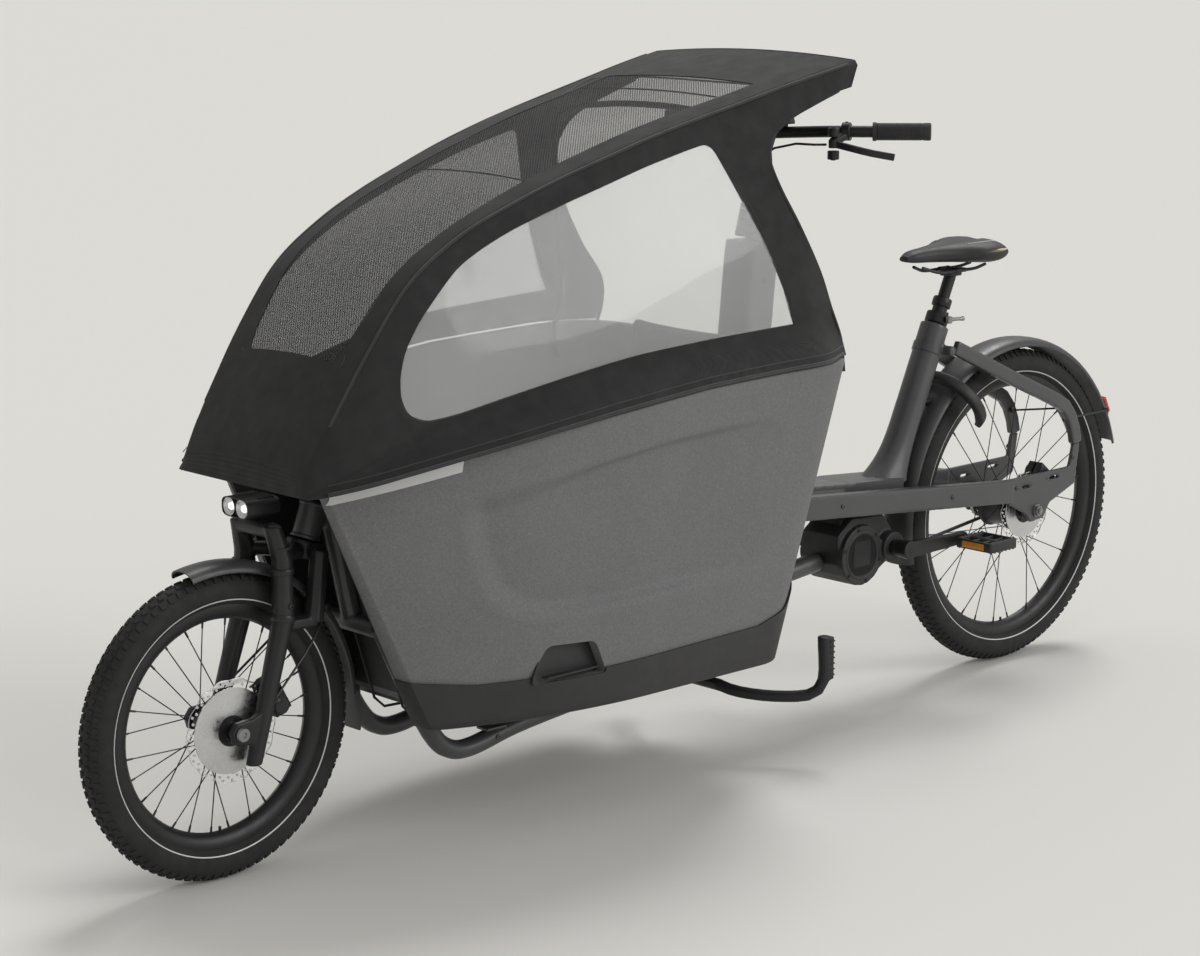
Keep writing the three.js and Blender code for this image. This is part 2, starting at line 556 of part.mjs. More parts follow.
// Belt: the loop around the two pulleys.
function loopOutline(extra) {
  const d = Math.hypot(CRANK_X, CRANK_Z - REAR_RADIUS);
  const base = Math.atan2(REAR_RADIUS - CRANK_Z, -CRANK_X); // from the crank towards the rear axle
  const open = Math.acos((CHAINRING_RADIUS - COG_RADIUS) / d);
  const arc = (cx, cz, r, from, to, n) => Array.from({ length: n + 1 }, (_, i) => {
    const a = lerp(from, to, i / n);
    return [cx + (r + extra) * Math.cos(a), cz + (r + extra) * Math.sin(a)];
  });
  return [
    ...arc(CRANK_X, CRANK_Z, CHAINRING_RADIUS, base + open, base + 2 * Math.PI - open, 18),
    ...arc(0, REAR_RADIUS, COG_RADIUS, base - open, base + open, 12),
  ];
}
const beltY0 = BELT_Y - BELT_WIDTH / 2;
piece("drive_belt", cut(plateY(loopOutline(4.6), beltY0, beltY0 + BELT_WIDTH),
  plateY(loopOutline(1.1), beltY0 - 5, beltY0 + BELT_WIDTH + 5)),
  BLACK_PLASTIC);
const cog = turned([[REAR_AXLE_RADIUS + AXLE_GAP, -5], [COG_RADIUS, -5], [COG_RADIUS, 5],
  [REAR_AXLE_RADIUS + AXLE_GAP, 5],
  [REAR_AXLE_RADIUS + AXLE_GAP, -5]], 24);
piece("rear_cog", solid(moved(geometryOf(cog), 0, BELT_Y, REAR_RADIUS)), BLACK_METAL);

// Platform pedal with a pocket each side of its spindle.
function pedal(side, way) {
  const x = CRANK_X + way * CRANK_LENGTH, y = side * PEDAL_Y;
  const platform = cut(block(92, 94, 26, x, y, CRANK_Z),
    ...[-1, 1].flatMap((k) => [-1, 1].map((j) => block(24, 32, 60, x + k * 24, y + j * 20, CRANK_Z))));
  const pinEnd = side * (CRANK_Y - ARM_THICKNESS / 2);
  return join(platform, yBar(x, CRANK_Z, Math.min(pinEnd, y), Math.max(pinEnd, y), PEDAL_PIN, 12));
}
piece("pedal_left", pedal(1, -1), BLACK_PLASTIC);
piece("pedal_right", pedal(-1, 1), BLACK_PLASTIC);

// ---------------------------------------------------------------- ring lock
const LOCK_ANGLE = 52;
const LOCK_CENTRE = 312; // from the rear axle
const LOCK_RADIUS = 75;
// Drawn in its own plane: X across the wheel, Y outward from the axle, then turned into place.
function lockPlace(manifold) {
  const g = geometryOf(manifold);
  const outward = arcPoint(1, LOCK_ANGLE, 0, 0, 0);
  const across = V(0, 1, 0);
  const m = new THREE.Matrix4().makeBasis(across, outward, across.clone().cross(outward));
  m.setPosition(arcPoint(LOCK_CENTRE, LOCK_ANGLE, 0, 0, REAR_RADIUS));
  return solid(g.applyMatrix4(m));
}
class Arc extends THREE.Curve {
  constructor(radius, from, to) {
    super();
    Object.assign(this, { radius, from, to });
  }
  getPoint(t, target = V(0, 0, 0)) {
    const a = THREE.MathUtils.degToRad(lerp(this.from, this.to, t));
    return target.set(this.radius * Math.cos(a), this.radius * Math.sin(a), 0);
  }
}
const arcSweep = (radius, from, to, section, steps) => solid(
  new THREE.ExtrudeGeometry(new THREE.Shape(section),
  { steps, extrudePath: new Arc(radius, from, to), bevelEnabled: false }));
const lockBody = cut(
  arcSweep(LOCK_RADIUS, -48, 228, rectangle(22, 24), 16),
  arcSweep(LOCK_RADIUS, -60, 240, circle(8, 6), 16),
  arcSweep(LOCK_RADIUS + 10, 10, 120, rectangle(16, 13), 6),
);
piece("lock_body", lockPlace(lockBody), BLACK_PLASTIC);
piece("lock_bar", lockPlace(join(arcSweep(LOCK_RADIUS, -42, 108, circle(4.6, 6), 12),
  bar(V(LOCK_RADIUS * Math.cos(1.9), LOCK_RADIUS * Math.sin(1.9), 0),
    V(96 * Math.cos(1.9), 96 * Math.sin(1.9), 0), 3.4, 3.4, 8))), STEEL);

// ---------------------------------------------------------------- steering head and fork
// A point of the steering axis at a height, and one turned out from it.
const headAt = (z) => V(HEAD_X + (HEAD_Z - z) * Math.tan(HEAD_LEAN), 0, z);
const HEAD_BOTTOM = 552;
const HEAD_TOP = 614;
const steererBore = bar(headAt(700), headAt(450), STEERER_RADIUS + AXLE_GAP, STEERER_RADIUS + AXLE_GAP, 14);
const NECK_FOOT = V(1788, 0, 392);
const headTube = cut(join(
  bar(headAt(HEAD_BOTTOM), headAt(HEAD_TOP), HEAD_TUBE_RADIUS, HEAD_TUBE_RADIUS, 16),
  bar(V(1874, 0, 592), V(1828, 0, 580), 17, 19, 10),
  bar(V(1832, 0, 590), NECK_FOOT, 19, 19, 10),
  yBar(NECK_FOOT.x + 4, NECK_FOOT.z, -CRADLE_Y + CRADLE_RADIUS + GAP, CRADLE_Y - CRADLE_RADIUS - GAP,
    CRADLE_RADIUS, 10),
), steererBore);
piece("head_tube", headTube, FRAME_PAINT);

const CROWN_Z = 536;
const leg = (side) => join(
  loft([[204, LEG_Y, 2050, 14], [440, 56, 1978, 19], [540, LEG_TOP_Y, 1974, 18],
    [596, LEG_TOP_Y - 6, 1988, 16]]
    .map(([z, y, x, r]) => circle(r, 12).map((p) => V(x + p.x, side * y + p.y, z)))),
  plateY([[2034, 236], [2090, 246], [2096, 266], [2084, 282], [2052, 284], [2020, 300]],
    Math.min(side * (LEG_Y - 7), side * (LEG_Y + 7)), Math.max(side * (LEG_Y - 7), side * (LEG_Y + 7))),
  bar(V(1890, side * 44, 540), V(1914, side * 55, 424), 17, 18, 8),
  bar(V(1912, side * 55, 426), V(1976, side * 56, 428), 13, 13, 6),
  bar(headAt(CROWN_Z), V(1890, side * 46, CROWN_Z), 15, 15, 8),
  bar(headAt(CROWN_Z), V(1974, side * LEG_TOP_Y, CROWN_Z + 6), 14, 13, 8),
);
const crownRing = bar(headAt(CROWN_Z - 15), headAt(HEAD_BOTTOM - 1.5), 30, 30, 14);
const steerer = bar(headAt(CROWN_Z), headAt(HEAD_TOP + 5), STEERER_RADIUS, STEERER_RADIUS, 14);
const cablePulley = bar(headAt(HEAD_TOP + 2), headAt(HEAD_TOP + 13), 34, 34, 20);
const frontAxleHole = yBar(WHEELBASE, FRONT_RADIUS, -200, 200, FRONT_AXLE_RADIUS + GAP, 12);
const arch = bar(V(1986, -LEG_TOP_Y + 6, 588), V(1986, LEG_TOP_Y - 6, 588), 15, 15, 10);
piece("fork", cut(join(leg(1), leg(-1), arch, crownRing, steerer, cablePulley), frontAxleHole),
  BLACK_METAL);
const axleTip = LEG_Y + 12;
piece("front_axle", join(yBar(WHEELBASE, FRONT_RADIUS, -axleTip, axleTip, FRONT_AXLE_RADIUS, 16),
  ...[-1, 1].map((side) => yBar(WHEELBASE, FRONT_RADIUS,
    Math.min(side * (LEG_Y + 7.5), side * (axleTip + 2)),
    Math.max(side * (LEG_Y + 7.5), side * (axleTip + 2)), 13, 12))), BLACK_METAL);
const frontGuardRadius = FRONT_RADIUS + 18;
const mudflap = plateY([[1799, 285], [1795, 285], [1790, 200], [1796, 202]], -28, 28);
piece("front_mudguard", join(mudguard(frontGuardRadius, 62, 77, 178, WHEELBASE, FRONT_RADIUS), mudflap),
  BLACK_PLASTIC);
const frontCalliperAngle = 152;
const frontCalliperAt = arcPoint(FRONT_DISC_RADIUS + 4, frontCalliperAngle, 0, WHEELBASE, FRONT_RADIUS);
const calliperTilt = -THREE.MathUtils.degToRad(frontCalliperAngle);
piece("front_calliper", cut(calliper([frontCalliperAt.x, frontCalliperAt.z], FRONT_DISC_Y, calliperTilt),
  leg(1)), BLACK_METAL);

// Headlamp on a bracket from the fork's arch.
const LAMP_Z = 612;
const lampShape = new THREE.Shape();
lampShape.absarc(-20, 0, 17, Math.PI / 2, 1.5 * Math.PI).absarc(20, 0, 17, -Math.PI / 2, Math.PI / 2);
const lampBody = new THREE.ExtrudeGeometry(lampShape, { depth: 74, bevelEnabled: false, curveSegments: 5 });
lampBody.rotateX(Math.PI / 2).rotateZ(Math.PI / 2);
const LAMP_FRONT = 2030;
const lamp = solid(moved(lampBody, LAMP_FRONT - 74, 0, LAMP_Z + 14));
piece("headlamp", lamp, BLACK_METAL);
// ---------------------------------------------------------------- cradle, bulkhead and column
const BULKHEAD_X = BEAM_FRONT[0] + 3;
const BULKHEAD_THICKNESS = 22;
const BULKHEAD_TOP = 478;
const cradleEnd = BULKHEAD_X + BULKHEAD_THICKNESS + GAP;
const cradlePath = [
  V(1808, CRADLE_Y, 404), V(1752, CRADLE_Y, 290), V(1700, CRADLE_Y, 196), V(1662, CRADLE_Y, 160),
  V(1610, CRADLE_Y, 152), V(1500, CRADLE_Y, 172), V(1340, CRADLE_Y, CRADLE_Z - 2),
    V(1220, CRADLE_Y, CRADLE_Z), V(cradleEnd, CRADLE_Y, CRADLE_Z),
];
pair("cradle_tube", tube(cradlePath, CRADLE_RADIUS, 16, 8), FRAME_PAINT);
const bulkhead = cut(
  plateY([[BULKHEAD_X, CRADLE_Z - 20], [BULKHEAD_X + BULKHEAD_THICKNESS, CRADLE_Z - 20],
    [BULKHEAD_X + BULKHEAD_THICKNESS, BULKHEAD_TOP], [BULKHEAD_X, BULKHEAD_TOP]], -118, 118),
  block(100, 130, 130, BULKHEAD_X, 0, 366),
);
const lowerTubeZ = 296;
const lowerTube = bar(V(MOTOR_X + 64, 0, lowerTubeZ + 12), V(BULKHEAD_X + 4, 0, lowerTubeZ - 20), 20, 20,
  14);
const CROSS_BAR_CLEARANCE = 1;
const crossHalf = CRADLE_Y - CRADLE_RADIUS - CROSS_BAR_CLEARANCE;
const crossBar = yBar(STAND_PIVOT[0] - 40, CRADLE_Z, -crossHalf, crossHalf, 14, 12);
piece("bulkhead", join(bulkhead, lowerTube, crossBar, block(60, 60, 24, BULKHEAD_X + 20, 0, CRADLE_Z)),
  FRAME_PAINT);

const columnAt = (z) => V(COLUMN_X + (COLUMN_TOP - z) * Math.tan(COLUMN_LEAN), 0, z);
const COLUMN_FOOT = spineTop(850) + GAP + 4;
const columnSection = (side) => {
  const h = side / 2, c = side / 6;
  return [[h, h - c], [h - c, h], [c - h, h], [-h, h - c], [-h, c - h], [c - h, -h], [h - c, -h],
    [h, c - h]]
    .map(([x, y]) => new THREE.Vector2(x, y));
};
const columnBore = bar(columnAt(COLUMN_TOP + 20), columnAt(620), STEERER_RADIUS + AXLE_GAP,
  STEERER_RADIUS + AXLE_GAP, 18);
piece("steering_column", cut(sweep([columnAt(COLUMN_FOOT), columnAt(COLUMN_TOP)],
  columnSection(COLUMN_SIDE), 1, false),
  columnBore), FRAME_PAINT);

// ---------------------------------------------------------------- handlebar
const STEM_TOP = 1168;
const barCentre = V(806, 0, BAR_Z - 10);
const barPath = [V(806, 0, BAR_Z - 10), V(806, 60, BAR_Z - 8), V(803, 120, BAR_Z - 4), V(788, 190, BAR_Z),
  V(757, 244, BAR_Z + 1),
  V(681, 340, BAR_Z + 2)];
const fullBar = [...[...barPath].reverse().map((p) => V(p.x, -p.y, p.z)), ...barPath.slice(1)];
const stem = join(
  bar(columnAt(640), columnAt(COLUMN_TOP + 10), STEERER_RADIUS, STEERER_RADIUS, 14),
  bar(columnAt(COLUMN_TOP + 1.5), columnAt(STEM_TOP), 21, 18, 14),
  bar(columnAt(STEM_TOP - 18), barCentre, 16, 17, 10), yBar(barCentre.x, barCentre.z, -22, 22, 20, 14),
);
piece("stem", cut(stem, yBar(barCentre.x, barCentre.z + 1, -60, 60, BAR_RADIUS + 1.5, 14)), BLACK_METAL);
const gripFrom = barPath[4].clone().lerp(barPath[5], 0.12), gripTo = barPath[5].clone();
const barEnd = gripTo.clone().lerp(gripFrom, -0.03);
const BAR_STEPS = 22;
const grip = cut(bar(gripFrom, barEnd, GRIP_RADIUS - 1, GRIP_RADIUS, 12),
  tube(fullBar, BAR_RADIUS + GAP, BAR_STEPS, 8));
pair("grip", grip, BLACK_PLASTIC);
const clampAt = barPath[3].clone().lerp(barPath[4], 0.45);
const clampWay = barPath[4].clone().sub(barPath[3]).normalize();
const clampRing = join(
  bar(clampAt.clone().addScaledVector(clampWay, -8), clampAt.clone().addScaledVector(clampWay, 8), 17, 17,
    10),
  bar(clampAt.clone().add(V(6, 4, -4)), V(806, 214, BAR_Z - 18), 8, 10, 8));
const LEVER_PIVOT = V(812, 216, BAR_Z - 20);
const leverPin = bar(LEVER_PIVOT.clone().add(V(0, 0, -30)), LEVER_PIVOT.clone().add(V(0, 0, 30)), 11, 11,
  10);
const clamp = cut(clampRing, leverPin);
piece("handlebar", join(tube(fullBar, BAR_RADIUS, BAR_STEPS, 8), clamp, mirrored(clamp)), BLACK_METAL);
const leverBlade = join(
  bar(LEVER_PIVOT.clone().add(V(0, 0, -8)), LEVER_PIVOT.clone().add(V(0, 0, 8)), 9.5, 9.5, 10),
  sweep([LEVER_PIVOT, V(806, 250, BAR_Z - 26), V(790, 285, BAR_Z - 34), V(762, 322, BAR_Z - 42)],
    rectangle(7, 13), 6),
);
pair("brake_lever", leverBlade, BLACK_METAL);

// ---------------------------------------------------------------- box
// The box's plan at a height: square to the rear, tapering to a narrower front.
const rise = (z) => (z - BOX_FLOOR) / (BOX_RIM - BOX_FLOOR);
const boxRear = (z) => lerp(967, 886, rise(z));
const boxHalfWidth = (z) => lerp(262, 379, rise(z));
function boxPlan(z, inset) {
  const t = rise(z);
  const rear = boxRear(z) + inset;
  const front = 1952 + 0.457 * (Math.min(z, BOX_RIM) - 650) - inset;
  const wide = boxHalfWidth(z) - inset;
  const frontHalf = 148 - 0.059 * (z - 650) - inset;
  const corner = lerp(70, 105, t) - inset / 2;
  const taper = lerp(1330, 1350, t);
  const points = [[rear, 0]];
  for (let i = 0; i <= 4; i++) {
    const a = (Math.PI / 2) * (i / 4);
    points.push([rear + corner * (1 - Math.cos(a)), wide - corner * (1 - Math.sin(a))]);
  }
  const reach = front - 12 - taper;
  const side = new THREE.CubicBezierCurve(new THREE.Vector2(taper, wide),
    new THREE.Vector2(taper + 0.36 * reach, wide),
    new THREE.Vector2(taper + 0.76 * reach, lerp(frontHalf, wide, 0.57)),
      new THREE.Vector2(front - 12, frontHalf));
  points.push(...side.getPoints(7).map((p) => [p.x, p.y]), [front, frontHalf - 16], [front, 0]);
  const other = points.slice(1, -1).reverse().map(([x, y]) => [x, -y]);
  return [...points, ...other].map(([x, y]) => V(x, y, z));
}
const BOX_ROWS = [150, 475, BOX_RIM, 900];
const CUT = 600; // how far cutting shapes reach past what they cut
const slab = (from, to) => block(2 * CUT, 2 * CUT, to - from, 1430, 0, (from + to) / 2);
const boxBlock = (from, to, inset) => loft(BOX_ROWS.map((z) => boxPlan(z, inset))).intersect(slab(from,
  to));

// The rim's height along the box, which is also the line of the canopy's hem.
const RIM_LINE = [[700, 800], [900, 798], [1000, 797], [1100, 795], [1200, 792], [1300, 788], [1400, 778],
  [1500, 765],
  [1600, 748], [1700, 729], [1800, 709], [1880, 692], [1930, 681], [1985, 668], [2014, 662], [2200, 640]];
function rimAt(x) {
  const i = RIM_LINE.findIndex(([end]) => end >= x);
  const [x0, z0] = RIM_LINE[i - 1], [x1, z1] = RIM_LINE[i];
  return lerp(z0, z1, (x - x0) / (x1 - x0));
}
const BASE_LINE = [[1850, 322], [1690, 302], [1440, 300], [1070, 309], [1000, 330], [960, 366], [900, 420]];
const aboveRim = plateY([...RIM_LINE, [2200, 1200], [700, 1200]], -CUT, CUT);
const aboveBase = plateY([[2200, 345 + GAP], ...BASE_LINE.map(([x, z]) => [x, z + GAP]), [700, 450 + GAP],
  [700, 1300], [2200, 1300]],
  -CUT, CUT);
// The recess in the box's front: a wedge with a sloping back, grown or shrunk by an amount.
const notchTool = (grow) => plateY([[NOTCH_TOP_X - grow, 760], [NOTCH_FOOT_X - grow, 205],
  [NOTCH_FOOT_X - grow, 100],
  [2100, 100], [2100, 760]], -NOTCH_HALF_WIDTH - grow, NOTCH_HALF_WIDTH + grow);

// Recessed panel in each flank.
const RECESS_OUTLINE = [[1759, 641], [1371, 704], [1090, 716], [1060, 500], [1085, 420], [1347, 414],
  [1577, 404], [1640, 412],
  [1690, 450], [1735, 530]];
const recess = cut(plateY(RECESS_OUTLINE, -CUT, CUT), boxBlock(BOX_FLOOR - 50, BOX_RIM + 50, BOX_RECESS));
const HANDLE_NOTCH = [[1440, 290], [1474, 354], [1570, 357], [1598, 290]];
const handleNotch = cut(plateY(HANDLE_NOTCH, -CUT, CUT),
  boxBlock(BOX_FLOOR - 50, BOX_RIM + 50, BOX_WALL - 5));
const tubBottom = BOX_FLOOR + 7;
const tub = cut(boxBlock(tubBottom, BOX_RIM + 20, 0), aboveRim, notchTool(0), recess, handleNotch,
  cut(boxBlock(tubBottom + BOX_WALL, BOX_RIM + 60, BOX_WALL), notchTool(BOX_WALL)));
piece("box_tub", tub, FOAM);
const tray = cut(boxBlock(BOX_FLOOR, 440, -BASE_PROUD), aboveBase, notchTool(0), handleNotch,
  boxBlock(tubBottom - GAP, 460, -GAP));
const runnerFoot = CRADLE_Z + CRADLE_RADIUS + GAP;
const runner = (side) => block(620, 26, BOX_FLOOR + 2 - runnerFoot, 1270, side * CRADLE_Y,
  (BOX_FLOOR + 2 + runnerFoot) / 2);
piece("box_base", join(tray, runner(1), runner(-1)), BLACK_PLASTIC);

// Dark guard that lines the box's front recess.
const guard = cut(notchTool(-1), notchTool(-1 - GUARD_THICKNESS)).intersect(boxBlock(BOX_FLOOR + 20, 640,
  1));
piece("front_guard", guard, BLACK_PLASTIC);

// Bench at the rear of the box: a battery case under a seat cushion, and a backrest.
const benchFloor = tubBottom + BOX_WALL + GAP;
const BENCH_TOP = 470;
piece("battery_case", block(190, 330, BENCH_TOP - benchFloor, 1110, 0, (BENCH_TOP + benchFloor) / 2),
  BLACK_PLASTIC);
const BENCH_SEAT = [310, 400, 50];
piece("bench_seat", block(...BENCH_SEAT, 1150, 0, BENCH_TOP + GAP + BENCH_SEAT[2] / 2), CLOTH);
const BACKREST = [420, 36]; // its width and thickness
const BACKREST_TOP = 826;
const BACKREST_CLEARANCE = 1; // to the box's rear wall behind it
const backrestAt = (z) => V(boxRear(z) + BOX_WALL + BACKREST_CLEARANCE + BACKREST[1] / 2, 0, z);
piece("bench_backrest", sweep([backrestAt(BENCH_TOP + BENCH_SEAT[2] + 6), backrestAt(BACKREST_TOP)],
  rectangle(...BACKREST), 1, false), CLOTH);

// ---------------------------------------------------------------- canopy
// Stations from the rear: place, seam half width and height, hem half width.
const CANOPY_STATIONS = [
  [804, 264, 1325, 322], [900, 260, 1304, 333], [1000, 251, 1281, 379], [1100, 245, 1257, 381],
    [1200, 237, 1233, 381],
  [1300, 229, 1207, 381], [1400, 221, 1177, 376], [1500, 208, 1144, 364], [1600, 198, 1107, 345],
    [1700, 187, 1062, 320],
  [1800, 182, 994, 288], [1880, 178, 896, 260], [1930, 174, 822, 240], [1985, 168, 736, 205],
    [2014, 160, 682, 178],
];
const ROOF_CROWN = 12;
// Flank from the hem up to the seam: share of the height left above, share of the flare.
const FLANK = [[1, 1], [0.87, 0.62], [0.76, 0.61], [0.55, 0.52], [0.28, 0.29], [0, 0]];
function canopyArch([x, seamY, seamZ, hemY], inset) {
  const hemZ = rimAt(x) + GAP;
  const half = FLANK.map(([t, out]) => [lerp(seamY, hemY, out) - inset,
    lerp(seamZ, hemZ, t) - (t ? 0 : inset)]);
  for (const share of [0.66, 0.33, 0]) half.push([seamY * share,
    seamZ + ROOF_CROWN * (1 - share * share) - inset]);
  if (inset) half.unshift([hemY - inset, hemZ - 60]); // the hollow reaches down past the hem
  const other = half.slice(0, -1).reverse().map(([y, z]) => [-y, z]);
  return [...half, ...other].map(([y, z]) => V(x, y, z));
}
function canopyBlock(inset) {
  const last = CANOPY_STATIONS.length - 1;
  return loft(CANOPY_STATIONS.map(([x, ...rest], i) => canopyArch([i === last ? x - inset : x, ...rest],
    inset)));
}
const REAR_EDGE = [[790, 1400], [806, 1318], [826, 1279], [857, 1273], [918, 1253], [980, 1231],
  [1025, 1206], [1046, 1175],
  [1050, 1150], [1036, 1104], [1006, 1042], [956, 958], [912, 887], [897, 828], [905, 770], [700, 770],
    [700, 1400]];
const behindCanopy = plateY(REAR_EDGE, -CUT, CUT);
const SIDE_WINDOW = [[1038, 868], [1217, 862], [1325, 857], [1425, 849], [1561, 826], [1687, 800],
  [1766, 782], [1818, 776],
  [1848, 788], [1856, 815], [1850, 850], [1834, 889], [1804, 933], [1764, 973], [1714, 1017], [1659, 1047],
    [1605, 1071],
  [1514, 1103], [1420, 1132], [1320, 1162], [1228, 1185], [1179, 1195], [1135, 1094], [1065, 939]];
const TOP_WINDOW = [[1000, 190], [1142, 178], [1353, 165], [1518, 156], [1668, 150], [1802, 138],
  [1883, 126], [1908, 114]];
const centroid = (points) => points.reduce(([x, y], p) => [x + p[0] / points.length,
  y + p[1] / points.length], [0, 0]);
const shrunk = (points, by) => {
  const [cx, cy] = centroid(points);
  return points.map(([x, y]) => {
    const d = Math.hypot(x - cx, y - cy);
    return [x - ((x - cx) * by) / d, y - ((y - cy) * by) / d];
  });
};
const topOutline = (by) => {
  const half = TOP_WINDOW.map(([x, y]) => [x, y - by]);
  half[0][0] += by;
  half[half.length - 1][0] -= by;
  return [...half, ...half.slice().reverse().map(([x, y]) => [x, -y])];
};
const sideHole = (by) => plateY(shrunk(SIDE_WINDOW, by), 100, CUT);
const topHole = (by) => plateZ(topOutline(by), 840, 1500);
const WINDOW_GAP = 1;
const shell = cut(canopyBlock(0), canopyBlock(CANOPY_THICKNESS), behindCanopy);
piece("canopy", cut(shell, sideHole(0), mirrored(sideHole(0)), topHole(0)), CLOTH);
const glazing = cut(canopyBlock(GAP), canopyBlock(CANOPY_THICKNESS - GAP));
piece("canopy_window_top", glazing.intersect(topHole(WINDOW_GAP)), MESH_CLOTH);
pair("canopy_window", glazing.intersect(sideHole(WINDOW_GAP)), CLEAR);

// Hoop that holds up the rear of the canopy, standing on the box's rim.
const HOOP_RADIUS = 6;
const HOOP_CLEARANCE = 3; // from the foot of the hoop to the box's side wall
const hoopFoot = (z) => V(1002, boxHalfWidth(z) - BOX_WALL - HOOP_CLEARANCE - HOOP_RADIUS, z);
const hoopSide = [hoopFoot(730), hoopFoot(790), V(1006, 324, 835), V(1020, 305, 900),
  V(1050, 284, 1040), V(1085, 250, 1180),
  V(1085, 222, 1226)];
const hoop = [...hoopSide, V(1085, 110, 1242), V(1085, 0, 1246)];
const toRight = (points) => points.map((p) => V(p.x, -p.y, p.z)).reverse();
piece("canopy_hoop", wire([...hoop, ...toRight(hoop.slice(0, -1))], HOOP_RADIUS, 8), BLACK_METAL);

// ---------------------------------------------------------------- centre stand
const [standX, standZ] = STAND_PIVOT;
const standLeg = (side) => tube([V(standX, side * (STAND_Y - 30), standZ),
  V(standX - 12, side * STAND_Y, standZ - 8),
  V(standX - 60, side * 190, standZ - 14), V(standX - 104, side * 240, standZ - 6),
    V(standX - 118, side * 251, standZ + 16),
  V(standX - 117, side * 252, standZ + 106)], STAND_TUBE_RADIUS, 14, 8);
const standPad = (side) => block(12, 24, 84, standX - 130, side * 252, standZ + 62);
piece("centre_stand", join(standLeg(1), standLeg(-1), standPad(1), standPad(-1),
  yBar(standX, standZ, -(STAND_Y - 28), STAND_Y - 28, STAND_TUBE_RADIUS, 12)), BLACK_METAL);

// ---------------------------------------------------------------- cables
// Steering cable: around the pulley on the steerer, down behind the fork and back under the box.
const pulleyAt = headAt(HEAD_TOP + 9);
const CABLE_WRAP = 37.5; // radius at which the cable lies round its pulley
const wrapped = [90, 60, 30, 0].map((deg) => {
  const a = THREE.MathUtils.degToRad(deg);
  const ahead = CABLE_WRAP * Math.cos(a) * 1.05;
  return V(pulleyAt.x + ahead * Math.cos(HEAD_LEAN), CABLE_WRAP * 1.05 * Math.sin(a),
    pulleyAt.z + ahead * Math.sin(HEAD_LEAN));
});
const CABLE_Y = wrapped[0].y;
const cableSide = [V(945, CABLE_Y, 208), V(1600, CABLE_Y, 208), V(1690, CABLE_Y, 212),
  V(1712, CABLE_Y, 232),
  V(1772, CABLE_Y, 420), V(1812, CABLE_Y, 570), V(1826, CABLE_Y, 604), V(1842, CABLE_Y, 613), ...wrapped];
piece("steering_cable", wire([...cableSide, ...toRight(cableSide.slice(0, -1))], 2.5), BLACK_PLASTIC);
const hoseSide = [V(818, 204, BAR_Z - 22), V(836, 190, BAR_Z - 22), V(842, 150, BAR_Z - 22),
  V(838, 90, BAR_Z - 34),
  V(826, 40, BAR_Z - 56), V(813, 12, BAR_Z - 74), V(812, 0, BAR_Z - 76)];
piece("brake_hoses", wire([...hoseSide, ...toRight(hoseSide.slice(0, -1))], 2.5), BLACK_PLASTIC);

// ---------------------------------------------------------------- the whole bicycle
const bounds = new THREE.Box3().setFromObject(bicycle);
bicycle.position.x = -(bounds.min.x + bounds.max.x) / 2;
bicycle.updateMatrixWorld(true);

export default bicycle;
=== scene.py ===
from math import atan2, cos, exp, hypot, pi, radians, sin, tan

import bmesh
import bpy
from mathutils import Matrix, Vector, noise


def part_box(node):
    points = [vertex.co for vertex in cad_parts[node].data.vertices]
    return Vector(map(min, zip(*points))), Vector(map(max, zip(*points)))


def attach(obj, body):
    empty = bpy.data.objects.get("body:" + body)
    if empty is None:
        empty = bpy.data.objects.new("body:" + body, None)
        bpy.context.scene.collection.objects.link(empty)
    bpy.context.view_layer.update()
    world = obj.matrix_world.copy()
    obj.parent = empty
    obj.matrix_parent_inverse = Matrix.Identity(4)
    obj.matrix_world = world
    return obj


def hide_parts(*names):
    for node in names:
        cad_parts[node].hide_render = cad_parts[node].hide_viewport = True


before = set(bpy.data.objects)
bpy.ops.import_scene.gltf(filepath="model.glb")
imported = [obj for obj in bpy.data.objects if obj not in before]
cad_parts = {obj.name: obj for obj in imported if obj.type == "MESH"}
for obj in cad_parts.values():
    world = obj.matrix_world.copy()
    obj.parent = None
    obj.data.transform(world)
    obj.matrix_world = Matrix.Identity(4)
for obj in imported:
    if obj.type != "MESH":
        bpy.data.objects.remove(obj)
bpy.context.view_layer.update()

bl_info = {
    "name": "Cargo bicycle",
    "version": (1, 0, 0),
    "blender": (4, 5, 0),
    "location": "View3D > Sidebar > Cargo bicycle",
    "description": "Builds the finished surfaces of a front-loading cargo bicycle around its packed frame",
    "category": "Object",
}

MM = 0.001
REAR_AXLE_X = (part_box("rear_tyre")[0][0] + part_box("rear_tyre")[1][0]) / 2
REAR_RADIUS = 340
FRONT_RADIUS = 263
WHEELBASE = 2077
DROPOUT_Y = 84
BELT_Y = -62
CRANK_X, CRANK_Z = 450, 327


def at(x, y, z):
    """A place given in millimetres from the rear axle, the middle plane and the ground."""
    return Vector((REAR_AXLE_X + x * MM, y * MM, z * MM))


def lerp(a, b, t):
    return a + (b - a) * t


def smoothstep(a, b, x):
    t = min(1.0, max(0.0, (x - a) / (b - a)))
    return t * t * (3 - 2 * t)


def along(table, x):
    """The values of a table's row at x, with a straight run between rows."""
    for low, high in zip(table, table[1:]):
        if x <= high[0]:
            t = max(0.0, (x - low[0]) / (high[0] - low[0]))
            return [lerp(a, b, t) for a, b in zip(low[1:], high[1:])]
    return list(table[-1][1:])


